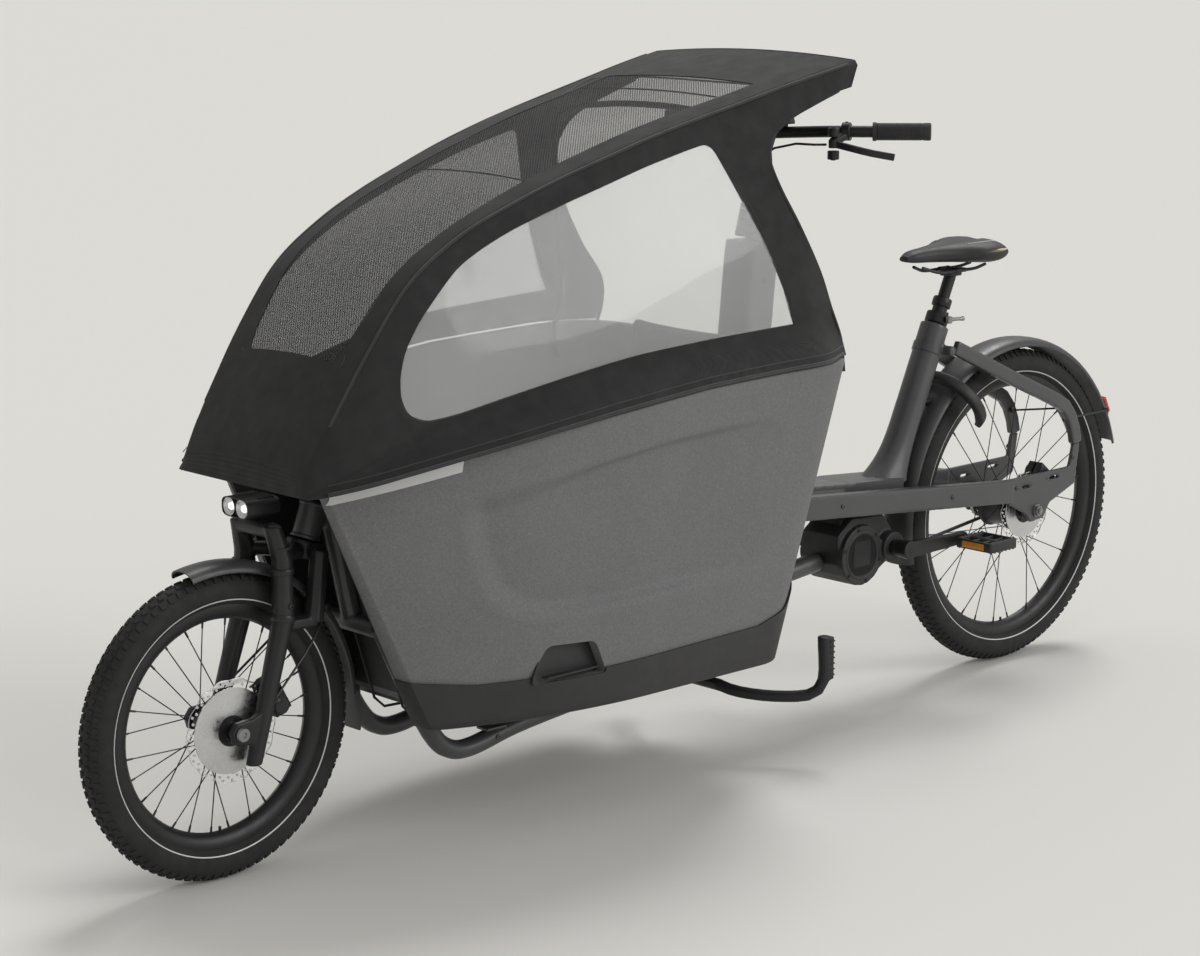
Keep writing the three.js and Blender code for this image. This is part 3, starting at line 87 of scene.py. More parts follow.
def smooth_path(points, steps=6, closed=False):
    """Points on a smooth curve through the given ones."""
    points = [Vector(p) for p in points]
    count = len(points)
    out = []
    for i in range(count if closed else count - 1):
        if closed:
            p0, p1, p2, p3 = (points[(i + k) % count] for k in (-1, 0, 1, 2))
        else:
            p1, p2 = points[i], points[i + 1]
            p0 = points[i - 1] if i else p1 * 2 - p2
            p3 = points[i + 2] if i + 2 < count else p2 * 2 - p1
        for step in range(steps):
            t = step / steps
            out.append(0.5 * (2 * p1 + (p2 - p0) * t + (2 * p0 - 5 * p1 + 4 * p2 - p3) * t * t
                              + (3 * p1 - p0 - 3 * p2 + p3) * t ** 3))
    return out if closed else out + [points[-1]]


# ---------------------------------------------------------------- modelling
def merge(bm, other):
    """Adds another bmesh to this one."""
    mesh = bpy.data.meshes.new("part")
    other.to_mesh(mesh)
    other.free()
    bm.from_mesh(mesh)
    bpy.data.meshes.remove(mesh)


def rod(bm, a, b, r0, r1=None, sides=24):
    """A round bar between two places, with a radius at each end."""
    a, b = Vector(a), Vector(b)
    turn = (b - a).to_track_quat("Z", "Y").to_matrix().to_4x4()
    bmesh.ops.create_cone(bm, cap_ends=True, segments=sides, radius1=r0 * MM,
                          radius2=(r0 if r1 is None else r1) * MM, depth=(b - a).length,
                          matrix=Matrix.Translation((a + b) / 2) @ turn)


def disc(bm, centre, radius, y0, y1, sides=32):
    """A disc about the Y axis, its middle at centre (X, Z)."""
    rod(bm, at(centre[0], y0, centre[1]), at(centre[0], y1, centre[1]), radius, sides=sides)


def block(bm, size, centre, bevel=1.5, turn=None, segments=2):
    """A block with rounded edges."""
    matrix = Matrix.Translation(centre) @ (turn or Matrix()) @ Matrix.Diagonal((*(s * MM for s in size), 1))
    out = bmesh.ops.create_cube(bm, size=1, matrix=matrix)
    if bevel:
        edges = list({e for v in out["verts"] for e in v.link_edges})
        bmesh.ops.bevel(bm, geom=edges, offset=bevel * MM, offset_type="OFFSET", segments=segments,
                        profile=0.5, affect="EDGES", material=-1)


def lathe(bm, profile, centre, axis=(0, 1, 0), steps=64, angle=2 * pi, start=0.0):
    """Turns a profile of (radius, distance along the axis) about an axis through centre."""
    part = bmesh.new()
    verts = [part.verts.new((r * MM, 0, s * MM)) for r, s in profile]
    edges = [part.edges.new(pair) for pair in zip(verts, verts[1:])]
    whole = abs(angle - 2 * pi) < 1e-6
    bmesh.ops.rotate(part, verts=verts, cent=(0, 0, 0), matrix=Matrix.Rotation(start, 3, "Z"))
    bmesh.ops.spin(part, geom=verts + edges, cent=(0, 0, 0), axis=(0, 0, 1), angle=angle, steps=steps,
                   use_merge=whole)
    bmesh.ops.remove_doubles(part, verts=part.verts, dist=1e-6)
    if not whole:
        bmesh.ops.holes_fill(part, edges=[e for e in part.edges if e.is_boundary], sides=0)
    bmesh.ops.recalc_face_normals(part, faces=part.faces)
    turn = Vector((0, 0, 1)).rotation_difference(Vector(axis)).to_matrix().to_4x4()
    bmesh.ops.transform(part, matrix=Matrix.Translation(centre) @ turn, verts=part.verts)
    merge(bm, part)


def tube(bm, points, radius, sides=16, steps=6, radii=None, smooth=True):
    """A round tube along a curve; radii gives a share of the radius at each of the points."""
    path = smooth_path(points, steps) if smooth else [Vector(p) for p in points]
    curve = bpy.data.curves.new("tube", "CURVE")
    curve.dimensions = "3D"
    curve.bevel_depth = radius * MM
    curve.bevel_resolution = max(1, sides // 4 - 1)
    curve.use_fill_caps = True
    spline = curve.splines.new("POLY")
    spline.points.add(len(path) - 1)
    for i, (point, p) in enumerate(zip(spline.points, path)):
        point.co = (*p, 1)
        if radii:
            share = i / max(1, len(path) - 1) * (len(radii) - 1)
            low = min(int(share), len(radii) - 2)
            point.radius = lerp(radii[low], radii[low + 1], share - low)
    add_curve(bm, curve)


def add_curve(bm, curve, place=None):
    holder = bpy.data.objects.new("curve", curve)
    mesh = bpy.data.meshes.new_from_object(holder)
    bpy.data.objects.remove(holder)
    bpy.data.curves.remove(curve)
    part = bmesh.new()
    part.from_mesh(mesh)
    bpy.data.meshes.remove(mesh)
    bmesh.ops.remove_doubles(part, verts=part.verts, dist=1e-6)
    bmesh.ops.recalc_face_normals(part, faces=part.faces)
    if place:
        bmesh.ops.transform(part, matrix=place, verts=part.verts)
    merge(bm, part)


def plate(bm, outlines, thickness, place, bevel=0.3):
    """A flat plate with holes: the first outline is its edge; the rest are its holes, all in millimetres."""
    curve = bpy.data.curves.new("plate", "CURVE")
    curve.dimensions = "2D"
    curve.fill_mode = "BOTH"
    curve.extrude = (thickness / 2 - bevel) * MM
    curve.bevel_depth = bevel * MM
    curve.bevel_resolution = 1
    curve.offset = -bevel * MM
    for outline in outlines:
        spline = curve.splines.new("POLY")
        spline.points.add(len(outline) - 1)
        spline.use_cyclic_u = True
        for point, (x, y) in zip(spline.points, outline):
            point.co = (x * MM, y * MM, 0, 1)
    add_curve(bm, curve, place)


def side_on(x, y, z):
    """Places a plate drawn in X and Z upright, with its middle at a place."""
    return Matrix.Translation(at(x, y, z)) @ Matrix.Rotation(pi / 2, 4, "X")


def arc(radius, start, end, steps, centre=(0, 0)):
    return [(centre[0] + radius * cos(lerp(start, end, i / steps)),
             centre[1] + radius * sin(lerp(start, end, i / steps)))
            for i in range(steps + 1)]


def circle(radius, steps=24, centre=(0, 0)):
    return arc(radius, 0, 2 * pi, steps, centre)[:-1]


def loft(bm, rings, caps=True):
    """A skin through closed rings of points, bridged one to the next."""
    loops = []
    for ring in rings:
        verts = [bm.verts.new(p) for p in ring]
        loops.append([bm.edges.new((verts[i - 1], verts[i])) for i in range(len(verts))])
    for a, b in zip(loops, loops[1:]):
        bmesh.ops.bridge_loops(bm, edges=a + b)
    if caps:
        bmesh.ops.edgeloop_fill(bm, edges=loops[0])
        bmesh.ops.edgeloop_fill(bm, edges=loops[-1])
    bmesh.ops.recalc_face_normals(bm, faces=bm.faces)


def prism(bm, outline, y0, y1):
    """A block with an outline in X and Z, from one Y to another."""
    loft(bm, [[at(x, y, z) for x, z in outline] for y in (y0, y1)])


def temporary(bm):
    mesh = bpy.data.meshes.new("temporary")
    bm.to_mesh(mesh)
    bm.free()
    obj = bpy.data.objects.new("temporary", mesh)
    bpy.context.scene.collection.objects.link(obj)
    return obj


def evaluated(obj, tools=()):
    """The object's mesh with its modifiers applied; it and its tools are removed."""
    depsgraph = bpy.context.evaluated_depsgraph_get()
    mesh = bpy.data.meshes.new_from_object(obj.evaluated_get(depsgraph))
    bm = bmesh.new()
    bm.from_mesh(mesh)
    bpy.data.meshes.remove(mesh)
    for gone in (obj, *tools):
        bpy.data.objects.remove(gone)
    return bm


def carve(bm, *tools, operation="DIFFERENCE"):
    """Cuts tools from a solid, or keeps what they share with it."""
    obj = temporary(bm)
    others = [temporary(tool) for tool in tools]
    for other in others:
        modifier = obj.modifiers.new("cut", "BOOLEAN")
        modifier.operation = operation
        modifier.object = other
        modifier.solver = "EXACT"
    return evaluated(obj, others)


def made(function, *args, **kwargs):
    bm = bmesh.new()
    function(bm, *args, **kwargs)
    return bm


def piece(name, bm, look, body="frame", nodes=(), sharp=32):
    """Finishes a bmesh as a named piece that rides on a body and stands for CAD nodes."""
    mesh = bpy.data.meshes.new(name)
    bm.to_mesh(mesh)
    bm.free()
    mesh.shade_smooth()
    mesh.set_sharp_from_angle(angle=radians(sharp))
    obj = bpy.data.objects.new(name, mesh)
    bpy.context.scene.collection.objects.link(obj)
    mesh.materials.append(LOOKS[look][0])
    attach(obj, body)
    if nodes:
        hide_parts(*nodes)
    return obj


def cast(name, node, look, body="frame", voxel=2.0, rounds=8, extra=None, shape=None):
    """A CAD node as a casting: its edges and joints rounded over, after any reshaping."""
    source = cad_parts[node]
    bm = bmesh.new()
    bm.from_mesh(source.data)
    bmesh.ops.remove_doubles(bm, verts=bm.verts, dist=1e-5)
    obj = temporary(bm)
    remesh = obj.modifiers.new("even", "REMESH")
    remesh.mode = "VOXEL"
    remesh.voxel_size = voxel * MM
    rounding = obj.modifiers.new("round", "SMOOTH")
    rounding.factor = 0.5
    rounding.iterations = rounds
    bm = evaluated(obj)
    if shape:
        bm = shape(bm)
    if extra:
        extra(bm)
    return piece(name, bm, look, body, [node], sharp=60)


# ---------------------------------------------------------------- finishes
LOOKS = {}


class Nodes:
    """A small helper that adds and links shader nodes of one material."""

    def __init__(self, name, slot):
        self.material = bpy.data.materials.new(name)
        self.material.use_nodes = True
        self.tree = self.material.node_tree
        self.shader = self.tree.nodes["Principled BSDF"]
        self.place = self.tree.nodes.new("ShaderNodeTexCoord").outputs["Object"]
        LOOKS[name] = (self.material, slot)

    def add(self, kind, values=None, **settings):
        node = self.tree.nodes.new(kind)
        for key, value in settings.items():
            setattr(node, key, value)
        for key, value in (values or {}).items():
            if isinstance(value, bpy.types.NodeSocket):
                self.tree.links.new(value, node.inputs[key])
            else:
                node.inputs[key].default_value = value
        return node

    def link(self, source, target):
        self.tree.links.new(source, self.shader.inputs[target] if isinstance(target, str) else target)

    def scaled(self, scale):
        return self.add("ShaderNodeMapping", {"Vector": self.place, "Scale": scale}).outputs["Vector"]

    def noise(self, scale, detail=4.0, vector=None):
        return self.add("ShaderNodeTexNoise", {"Vector": vector or self.place, "Scale": scale,
                                               "Detail": detail}
                        ).outputs["Fac"]

    def spread(self, factor, low, high, start=0.3, end=0.7):
        return self.add("ShaderNodeMapRange", {"Value": factor, "From Min": start, "From Max": end,
                                               "To Min": low, "To Max": high}).outputs["Result"]

    def mix(self, factor, a, b):
        node = self.add("ShaderNodeMix", {"Factor": factor}, data_type="RGBA")
        for socket, value in ((6, a), (7, b)):
            if isinstance(value, bpy.types.NodeSocket):
                self.tree.links.new(value, node.inputs[socket])
            else:
                node.inputs[socket].default_value = (*value, 1)
        return node.outputs[2]

    def bump(self, height, strength, distance, normal=None):
        values = {"Height": height, "Strength": strength, "Distance": distance * MM}
        if normal is not None:
            values["Normal"] = normal
        return self.add("ShaderNodeBump", values).outputs["Normal"]


def shade(color, factor):
    return tuple(c * factor for c in color)


def plain_look(name, slot, color, roughness, metallic=0.0, mottle=0.12, grain=900.0, depth=0.05, **sockets):
    """A moulded, painted or coated finish: slow colour changes, fine grain and uneven gloss."""
    n = Nodes(name, slot)
    n.link(n.mix(n.spread(n.noise(14.0), 0.0, 1.0), shade(color, 1 - mottle), shade(color, 1 + mottle)),
           "Base Color")
    n.link(n.spread(n.noise(60.0), roughness - 0.06, roughness + 0.06), "Roughness")
    n.link(n.bump(n.noise(grain, 2.0), 0.35, depth), "Normal")
    n.shader.inputs["Metallic"].default_value = metallic
    for key, value in sockets.items():
        n.shader.inputs[key.replace("_", " ").title()].default_value = value
    return n


def foam_look(settings):
    """Moulded bead foam: small beads, dark seams between them and pale specks."""
    color = tuple(settings.foam_color)
    n = Nodes("foam", "foam")
    beads = n.add("ShaderNodeTexVoronoi", {"Vector": n.place, "Scale": 330.0, "Randomness": 1.0},
                  feature="F1")
    tone = n.mix(n.spread(beads.outputs["Color"], 0.0, 1.0, 0.1, 0.9), shade(color, 0.72), shade(color, 1.3))
    slow = n.mix(n.spread(n.noise(6.0), 0.0, 1.0), shade(color, 0.94), shade(color, 1.06))
    base = n.mix(0.35, slow, tone)
    specks = n.spread(n.noise(520.0, 1.0), 0.0, 1.0, 0.66, 0.74)
    n.link(n.mix(specks, base, shade(color, 1.6)), "Base Color")
    n.shader.inputs["Roughness"].default_value = 0.78
    pits = n.bump(beads.outputs["Distance"], 0.25, 0.5)
    n.link(n.bump(n.noise(900.0, 3.0), 0.3, 0.25, pits), "Normal")


def cloth_look(name, slot, color, pitch, roughness=0.85, sheen=0.25):
    """Woven cloth: crossing threads, a soft sheen and slow changes of tone."""
    n = Nodes(name, slot)
    weft = n.add("ShaderNodeTexWave", {"Vector": n.scaled((1, 0, 0)), "Scale": pitch}, bands_direction="X")
    warp = n.add("ShaderNodeTexWave", {"Vector": n.scaled((0, 2, 2)), "Scale": pitch},
                 bands_direction="DIAGONAL")
    weave = n.add("ShaderNodeMath", {0: weft.outputs["Fac"], 1: warp.outputs["Fac"]}, operation="MULTIPLY")
    tone = n.mix(n.spread(n.noise(5.0, 6.0), 0.0, 1.0), shade(color, 0.86), shade(color, 1.14))
    n.link(n.mix(weave.outputs[0], shade(color, 0.7), tone), "Base Color")
    n.link(n.spread(n.noise(30.0), roughness - 0.07, roughness + 0.07), "Roughness")
    creases = n.bump(n.noise(9.0, 3.0), 0.25, 6.0)
    n.link(n.bump(weave.outputs[0], 0.4, 0.3, creases), "Normal")
    n.shader.inputs["Sheen Weight"].default_value = sheen
    n.shader.inputs["Sheen Roughness"].default_value = 0.4
    return n


def mesh_look():
    """Open mesh cloth: a fine lattice of dark thread that lets part of the light through."""
    n = Nodes("mesh_cloth", "mesh_cloth")
    lattice = n.add("ShaderNodeTexChecker", {"Vector": n.scaled((1, 1, 0)), "Scale": 330.0})
    n.link(n.mix(n.spread(n.noise(8.0), 0.0, 1.0), (0.03, 0.03, 0.031), (0.045, 0.045, 0.046)), "Base Color")
    n.shader.inputs["Roughness"].default_value = 0.7
    n.link(n.bump(lattice.outputs["Fac"], 0.5, 0.4), "Normal")
    n.link(n.spread(lattice.outputs["Fac"], 0.3, 0.78, 0.0, 1.0), "Alpha")


def clear_look():
    """Clear flexible sheet with a faint grey tint and slight ripples."""
    n = Nodes("clear_sheet", "clear_sheet")
    n.link(n.mix(n.spread(n.noise(3.0), 0.0, 1.0), (0.56, 0.57, 0.57), (0.64, 0.65, 0.65)), "Base Color")
    n.link(n.spread(n.noise(25.0), 0.04, 0.1), "Roughness")
    n.link(n.bump(n.noise(4.0, 2.0), 0.12, 6.0), "Normal")
    n.shader.inputs["Alpha"].default_value = 0.34


def steel_look(name, slot, color, roughness):
    """Brushed metal: fine streaks and an uneven gloss."""
    n = Nodes(name, slot)
    streaks = n.noise(120.0, 3.0, n.scaled((1, 12, 1)))
    n.link(n.mix(n.spread(n.noise(25.0), 0.0, 1.0), shade(color, 0.9), color), "Base Color")
    n.link(n.spread(streaks, roughness - 0.08, roughness + 0.1), "Roughness")
    n.link(n.bump(streaks, 0.15, 0.05), "Normal")
    n.shader.inputs["Metallic"].default_value = 1.0


def leather_look(color):
    """Grained cover: small cells with soft valleys between them."""
    n = Nodes("saddle_cover", "saddle_cover")
    cells = n.add("ShaderNodeTexVoronoi", {"Vector": n.place, "Scale": 420.0}, feature="F1")
    n.link(n.mix(n.spread(n.noise(18.0), 0.0, 1.0), shade(color, 0.85), shade(color, 1.15)), "Base Color")
    n.link(n.spread(cells.outputs["Distance"], 0.42, 0.6, 0.0, 0.8), "Roughness")
    n.link(n.bump(cells.outputs["Distance"], 0.35, 0.25), "Normal")


def light_look(name, slot, color, strength):
    n = plain_look(name, slot, color, 0.25, mottle=0.03, depth=0.02)
    n.shader.inputs["Emission Color"].default_value = (*color, 1)
    n.shader.inputs["Emission Strength"].default_value = strength


def ribbed_rubber_look(color):
    """Grip rubber: fine raised dots over a matte base."""
    n = plain_look("grip_rubber", "rubber", color, 0.7)
    dots = n.add("ShaderNodeTexVoronoi", {"Vector": n.place, "Scale": 300.0}, feature="F1")
    n.link(n.bump(dots.outputs["Distance"], 0.5, 0.4), "Normal")


def make_looks(settings):
    paint = tuple(settings.paint_color)
    plain_look("paint", "frame_paint", paint, 0.42, mottle=0.07, depth=0.03, Coat_weight=0.25,
               Coat_roughness=0.3)
    plain_look("black_metal", "black_metal", (0.022, 0.022, 0.023), 0.42, 0.35, depth=0.03)
    plain_look("machined", "steel", (0.3, 0.3, 0.3), 0.35, 0.9)
    plain_look("plastic", "black_plastic", (0.02, 0.02, 0.021), 0.55, grain=700.0, depth=0.12)
    plain_look("tray_plastic", "black_plastic", (0.026, 0.026, 0.027), 0.5, grain=500.0, depth=0.15)
    plain_look("tyre", "tyre_rubber", (0.013, 0.013, 0.013), 0.8, mottle=0.25, grain=300.0, depth=0.25)
    plain_look("rubber", "rubber", (0.018, 0.018, 0.018), 0.7, mottle=0.2, grain=500.0, depth=0.15)
    plain_look("trim", "foam", (0.55, 0.55, 0.55), 0.5, mottle=0.04)
    plain_look("reflective", "tyre_rubber", (0.6, 0.6, 0.6), 0.35, mottle=0.05, Emission_strength=0.0)
    plain_look("amber", "black_plastic", (0.62, 0.24, 0.02), 0.25, mottle=0.1, grain=1500.0, depth=0.4)
    plain_look("flash_gold", "saddle_cover", (0.35, 0.22, 0.03), 0.5, mottle=0.1)
    plain_look("flash_white", "saddle_cover", (0.6, 0.6, 0.58), 0.5, mottle=0.05)
    plain_look("fender", "black_plastic", (0.05, 0.05, 0.052), 0.4, depth=0.04)
    light_look("red_lens", "black_plastic", (0.5, 0.01, 0.012), 0.25)
    light_look("led", "black_metal", (0.95, 0.97, 1.0), 1.6)
    steel_look("steel", "steel", (0.66, 0.66, 0.66), 0.3)
    cloth_look("cloth", "canopy_cloth", tuple(settings.canopy_color), 260.0, sheen=0.08)
    cloth_look("pad_cloth", "canopy_cloth", (0.045, 0.046, 0.048), 200.0)
    cloth_look("webbing", "canopy_cloth", (0.03, 0.03, 0.031), 420.0, 0.7)
    foam_look(settings)
    mesh_look()
    clear_look()
    leather_look((0.022, 0.022, 0.023))
    ribbed_rubber_look((0.03, 0.03, 0.03))


# ---------------------------------------------------------------- wheels
def tyre_profile(radius, half):
    middle = radius - 2 - half
    side = [(middle + half * cos(a), half * sin(a)) for a in (radians(d) for d in range(0, 127, 9))]
    side += [(radius - 57, 14)]
    return side


def wheel(name, x, radius, half, spoke_count, hub_radius, flange, ends, end_radius, body):
    centre = at(x, 0, radius)
    bm = bmesh.new()
    side = tyre_profile(radius, half)
    profile = [(r, -y) for r, y in reversed(side)] + side[1:]
    lathe(bm, profile + [profile[0]], centre, steps=112)
    add_tread(bm, centre, radius, half)
    piece(f"{name}_tyre_skin", bm, "tyre", body, [f"{name}_tyre"])

    middle = radius - 2 - half
    bm = bmesh.new()
    for way in (1, -1):
        band = [(middle + (half + e) * cos(radians(d)), way * (half + e) * sin(radians(d)))
                for d, e in ((116.5, -0.5), (117, 0.5), (121, 0.5), (121.5, -0.5))]
        lathe(bm, band + [band[0]], centre, steps=112)
    piece(f"{name}_tyre_line", bm, "reflective", body)

    seat = radius - 58
    bm = bmesh.new()
    rim = [(seat, 17), (seat + 5, 16), (seat + 5, 14), (seat - 2, 13), (seat - 4, -13), (seat + 5, -14),
           (seat + 5, -16), (seat, -17), (seat - 12, -15.5), (seat - 20, -9), (seat - 23.5, 0),
           (seat - 20, 9), (seat - 12, 15.5)]
    lathe(bm, rim + [rim[0]], centre, steps=96)
    rod(bm, centre + Vector((0, 0, -seat * MM)), centre + Vector((0, 0, (-seat + 30) * MM)), 3, 2.6, 12)
    piece(f"{name}_rim_skin", bm, "black_metal", body, [f"{name}_rim"])

    bm = bmesh.new()
    for i in range(spoke_count):
        way = 1 if i % 2 else -1
        rim_angle = 2 * pi * (i + 0.5) / spoke_count
        lead = (1 if i % 4 < 2 else -1) * 0.85
        root = Vector((cos(rim_angle + lead), 0, sin(rim_angle + lead))) * (hub_radius + 3) * MM
        tip = Vector((cos(rim_angle), 0, sin(rim_angle)))
        a = centre + root + Vector((0, way * (flange - 1) * MM, 0))
        b = centre + tip * (seat - 21) * MM + Vector((0, way * 3 * MM, 0))
        rod(bm, a, b, 1.05, sides=8)
        rod(bm, b, b + (a - b).normalized() * 13 * MM, 2.1, 1.8, sides=8)
    right, left = ends
    hub = [(8, right), (end_radius, right), (end_radius, -flange - 6), (hub_radius, -flange - 4),
           (hub_radius + 5, -flange - 2), (hub_radius + 5, -flange + 1), (hub_radius, -flange + 5),
           (hub_radius - 2, -flange + 9), (hub_radius - 2, flange - 9), (hub_radius, flange - 5),
           (hub_radius + 5, flange - 1), (hub_radius + 5, flange + 2), (hub_radius, flange + 4),
           (end_radius, flange + 6), (end_radius, left), (8, left)]
    lathe(bm, hub + [hub[0]], centre, steps=48)
    piece(f"{name}_hub_skin", bm, "black_metal", body, [f"{name}_hub"])


def add_tread(bm, centre, radius, half):
    """Rows of small blocks round the crown and shoulders of a tyre."""
    middle = radius - 2 - half
    count = round(radius / 3)
    for row, (degrees, long, wide, skew) in enumerate(((-44, 8, 11, 0.1), (-16, 9, 9, 0.35),
                                                       (16, 9, 9, -0.35), (44, 8, 11, -0.1))):
        section = radians(degrees)
        for i in range(count):
            angle = 2 * pi * (i + 0.5 * (row % 2)) / count
            spin = Matrix.Rotation(-angle, 4, "Y")
            local = Matrix.Translation(((middle + (half + 0.6) * cos(section)) * MM,
                                        (half + 0.6) * sin(section) * MM, 0))
            tilt = Matrix.Rotation(section, 4, "Z") @ Matrix.Rotation(skew, 4, "X")
            size = Matrix.Diagonal((2.8 * MM, wide * MM, long * MM, 1))
            bmesh.ops.create_cube(bm, size=1, matrix=Matrix.Translation(centre) @ spin @ local @ tilt @ size)


def brake_disc(name, x, z, y, radius, bore, body):
    """A rotor with a wavy edge, drilled track and slanting arms."""
    waves = 14
    edge = [((radius - 1.6 + 1.5 * cos(waves * a)) * cos(a), (radius - 1.6 + 1.5 * cos(waves * a)) * sin(a))
            for a in (2 * pi * i / 168 for i in range(168))]
    outer = radius - 17
    holes = [circle(outer, 72)]
    for i in range(waves * 2):
        a = 2 * pi * i / (waves * 2)
        for r, turn in ((radius - 5.5, 0), (radius - 11, 0.1)):
            holes.append(circle(2.2, 8, (r * cos(a + turn), r * sin(a + turn))))
    bm = made(plate, [edge] + holes, 1.9, side_on(x, y, z), 0.2)
    for k in range(8):
        start, end = 2 * pi * k / 8, 2 * pi * k / 8 + 0.75
        spine = [(lerp(bore + 6, outer + 1.5, t), lerp(start, end, smoothstep(0, 1, t)))
                 for t in (i / 10 for i in range(11))]
        wide = [lerp(4.6, 2.6, smoothstep(0, 0.5, i / 10)) + 1.6 * smoothstep(0.8, 1, i / 10)
                for i in range(11)]
        arm = [(r * cos(a + w / r), r * sin(a + w / r)) for (r, a), w in zip(spine, wide)]
        arm += [(r * cos(a - w / r), r * sin(a - w / r)) for (r, a), w in reversed(list(zip(spine, wide)))]
        plate(bm, [arm], 1.8, side_on(x, y, z), 0.2)
    piece(f"{name}_rotor", bm, "steel", body, [f"{name}_disc"])
    bm = bmesh.new()
    lathe(bm, [(bore, -1.6), (bore + 11, -1.6), (bore + 11, 1.6), (bore, 1.6), (bore, -1.6)], at(x, y, z),
          steps=40)
    for k in range(6):
        a = 2 * pi * k / 6
        disc(bm, (x + (bore + 6) * cos(a), z + (bore + 6) * sin(a)), 2.6, y - 2.6, y + 2.8, 6)
    piece(f"{name}_rotor_carrier", bm, "black_metal", body)


def mudguard(bm, x, z, outer, width, start, end):
    """A curved guard with rolled edges, over an arc about an axle."""
    half = width / 2
    crown = [(outer - 17 + 17 * sin(a), half * cos(a) ** 0.8 if cos(a) > 0 else 0)
             for a in (pi * i / 16 for i in range(9))]
    over = crown + [(r, -y) for r, y in reversed(crown[:-1])]
    under = [(r - 2.2, y * 0.93) for r, y in reversed(over)]
    lathe(bm, over + under + [over[0]], at(x, 0, z), steps=56, angle=radians(end - start),
          start=radians(-end))


# ---------------------------------------------------------------- sheets and soft shapes
def skin(columns, rows, place):
    """A grid laid over a surface: place gives a point for two shares from 0 to 1."""
    bm = bmesh.new()
    bmesh.ops.create_grid(bm, x_segments=columns, y_segments=rows, size=0.5)
    for v in bm.verts:
        v.co = place(v.co.x + 0.5, v.co.y + 0.5)
    return bm


def thicken(bm, thickness, offset=-1):
    obj = temporary(bm)
    wall = obj.modifiers.new("wall", "SOLIDIFY")
    wall.thickness = thickness * MM
    wall.offset = offset
    wall.use_even_offset = True
    return evaluated(obj)


def eased(table, x):
    """A smooth value along a table's rows, with no overshoot at its ends."""
    for i in range(1, len(table)):
        if x <= table[i][0] or i == len(table) - 1:
            break
    (x1, *a), (x2, *b) = table[i - 1], table[i]
    before = table[i - 2] if i > 1 else table[i - 1]
    after = table[i + 1] if i + 1 < len(table) else table[i]
    t = min(1.0, max(0.0, (x - x1) / (x2 - x1)))
    out = []
    for k, (p, q) in enumerate(zip(a, b), 1):
        m0 = (q - before[k]) / (x2 - before[0]) * (x2 - x1)
        m1 = (after[k] - p) / (after[0] - x1) * (x2 - x1)
        out.append((2 * t ** 3 - 3 * t * t + 1) * p + (t ** 3 - 2 * t * t + t) * m0
                   + (3 * t * t - 2 * t ** 3) * q + (t ** 3 - t * t) * m1)
    return out


def stuffed(name, centre, size, look, crown, channels=(), node=None, puff=4.0, turn=None, pinch=6):
    """A sewn cushion: a blown-up cover, its sides pulled in between the corners, with sewn channels."""
    wide, deep, tall = size
    bm = bmesh.new()
    bmesh.ops.create_cube(bm, size=1, matrix=Matrix.Diagonal(((wide - 12) * MM, (deep - 12) * MM,
                                                              (tall - 12) * MM, 1)))
    bmesh.ops.bevel(bm, geom=list(bm.edges), offset=tall * 0.3 * MM, offset_type="OFFSET", segments=3,
                    profile=0.5, affect="EDGES", material=-1)
    obj = temporary(bm)
    remesh = obj.modifiers.new("even", "REMESH")
    remesh.mode = "VOXEL"
    remesh.voxel_size = 6 * MM
    bm = evaluated(obj)
    start = [v.co.copy() for v in bm.verts]
    obj = temporary(bm)
    cover = obj.modifiers.new("cover", "CLOTH")
    cover.settings.quality = 5
    cover.settings.use_pressure = True
    cover.settings.uniform_pressure_force = puff
    cover.settings.effector_weights.gravity = 0
    cover.point_cache.frame_start, cover.point_cache.frame_end = 1, 20
    scene = bpy.context.scene
    for step in range(1, 21):
        scene.frame_set(step)
    bm = evaluated(obj)
    scene.frame_set(1)
    bm.verts.ensure_lookup_table()
    half = Vector((wide / 2, deep / 2, tall / 2)) * MM
    for v, rest in zip(bm.verts, start):
        move = v.co - rest
        if move.length > 7 * MM:
            v.co = rest + move.normalized() * 7 * MM
        u, w = v.co.x / half.x, v.co.y / half.y
        v.co.z += (1 - u * u) * (1 - w * w) * crown * MM * (1 if v.co.z > 0 else 0.15)
        for axis, place in channels:
            off = ((v.co.x if axis == "x" else v.co.y) / MM - place) / 5
            if v.co.z > 0:
                v.co.z -= 4.5 * MM * exp(-off * off)
        v.co.x -= pinch * MM * u * (1 - w * w) * abs(u)
        v.co.y -= pinch * MM * w * (1 - u * u) * abs(w)
        v.co += v.normal * noise.noise(v.co * 22) * 1.2 * MM
        v.co = Vector(max(-h, min(h, c)) for c, h in zip(v.co, half))
    obj = temporary(bm)
    finer = obj.modifiers.new("finer", "SUBSURF")
    finer.levels = finer.render_levels = 1
    bm = evaluated(obj)
    bmesh.ops.transform(bm, matrix=Matrix.Translation(centre) @ (turn or Matrix()), verts=bm.verts)
    obj = piece(name, bm, look, "frame", [node] if node else (), sharp=70)


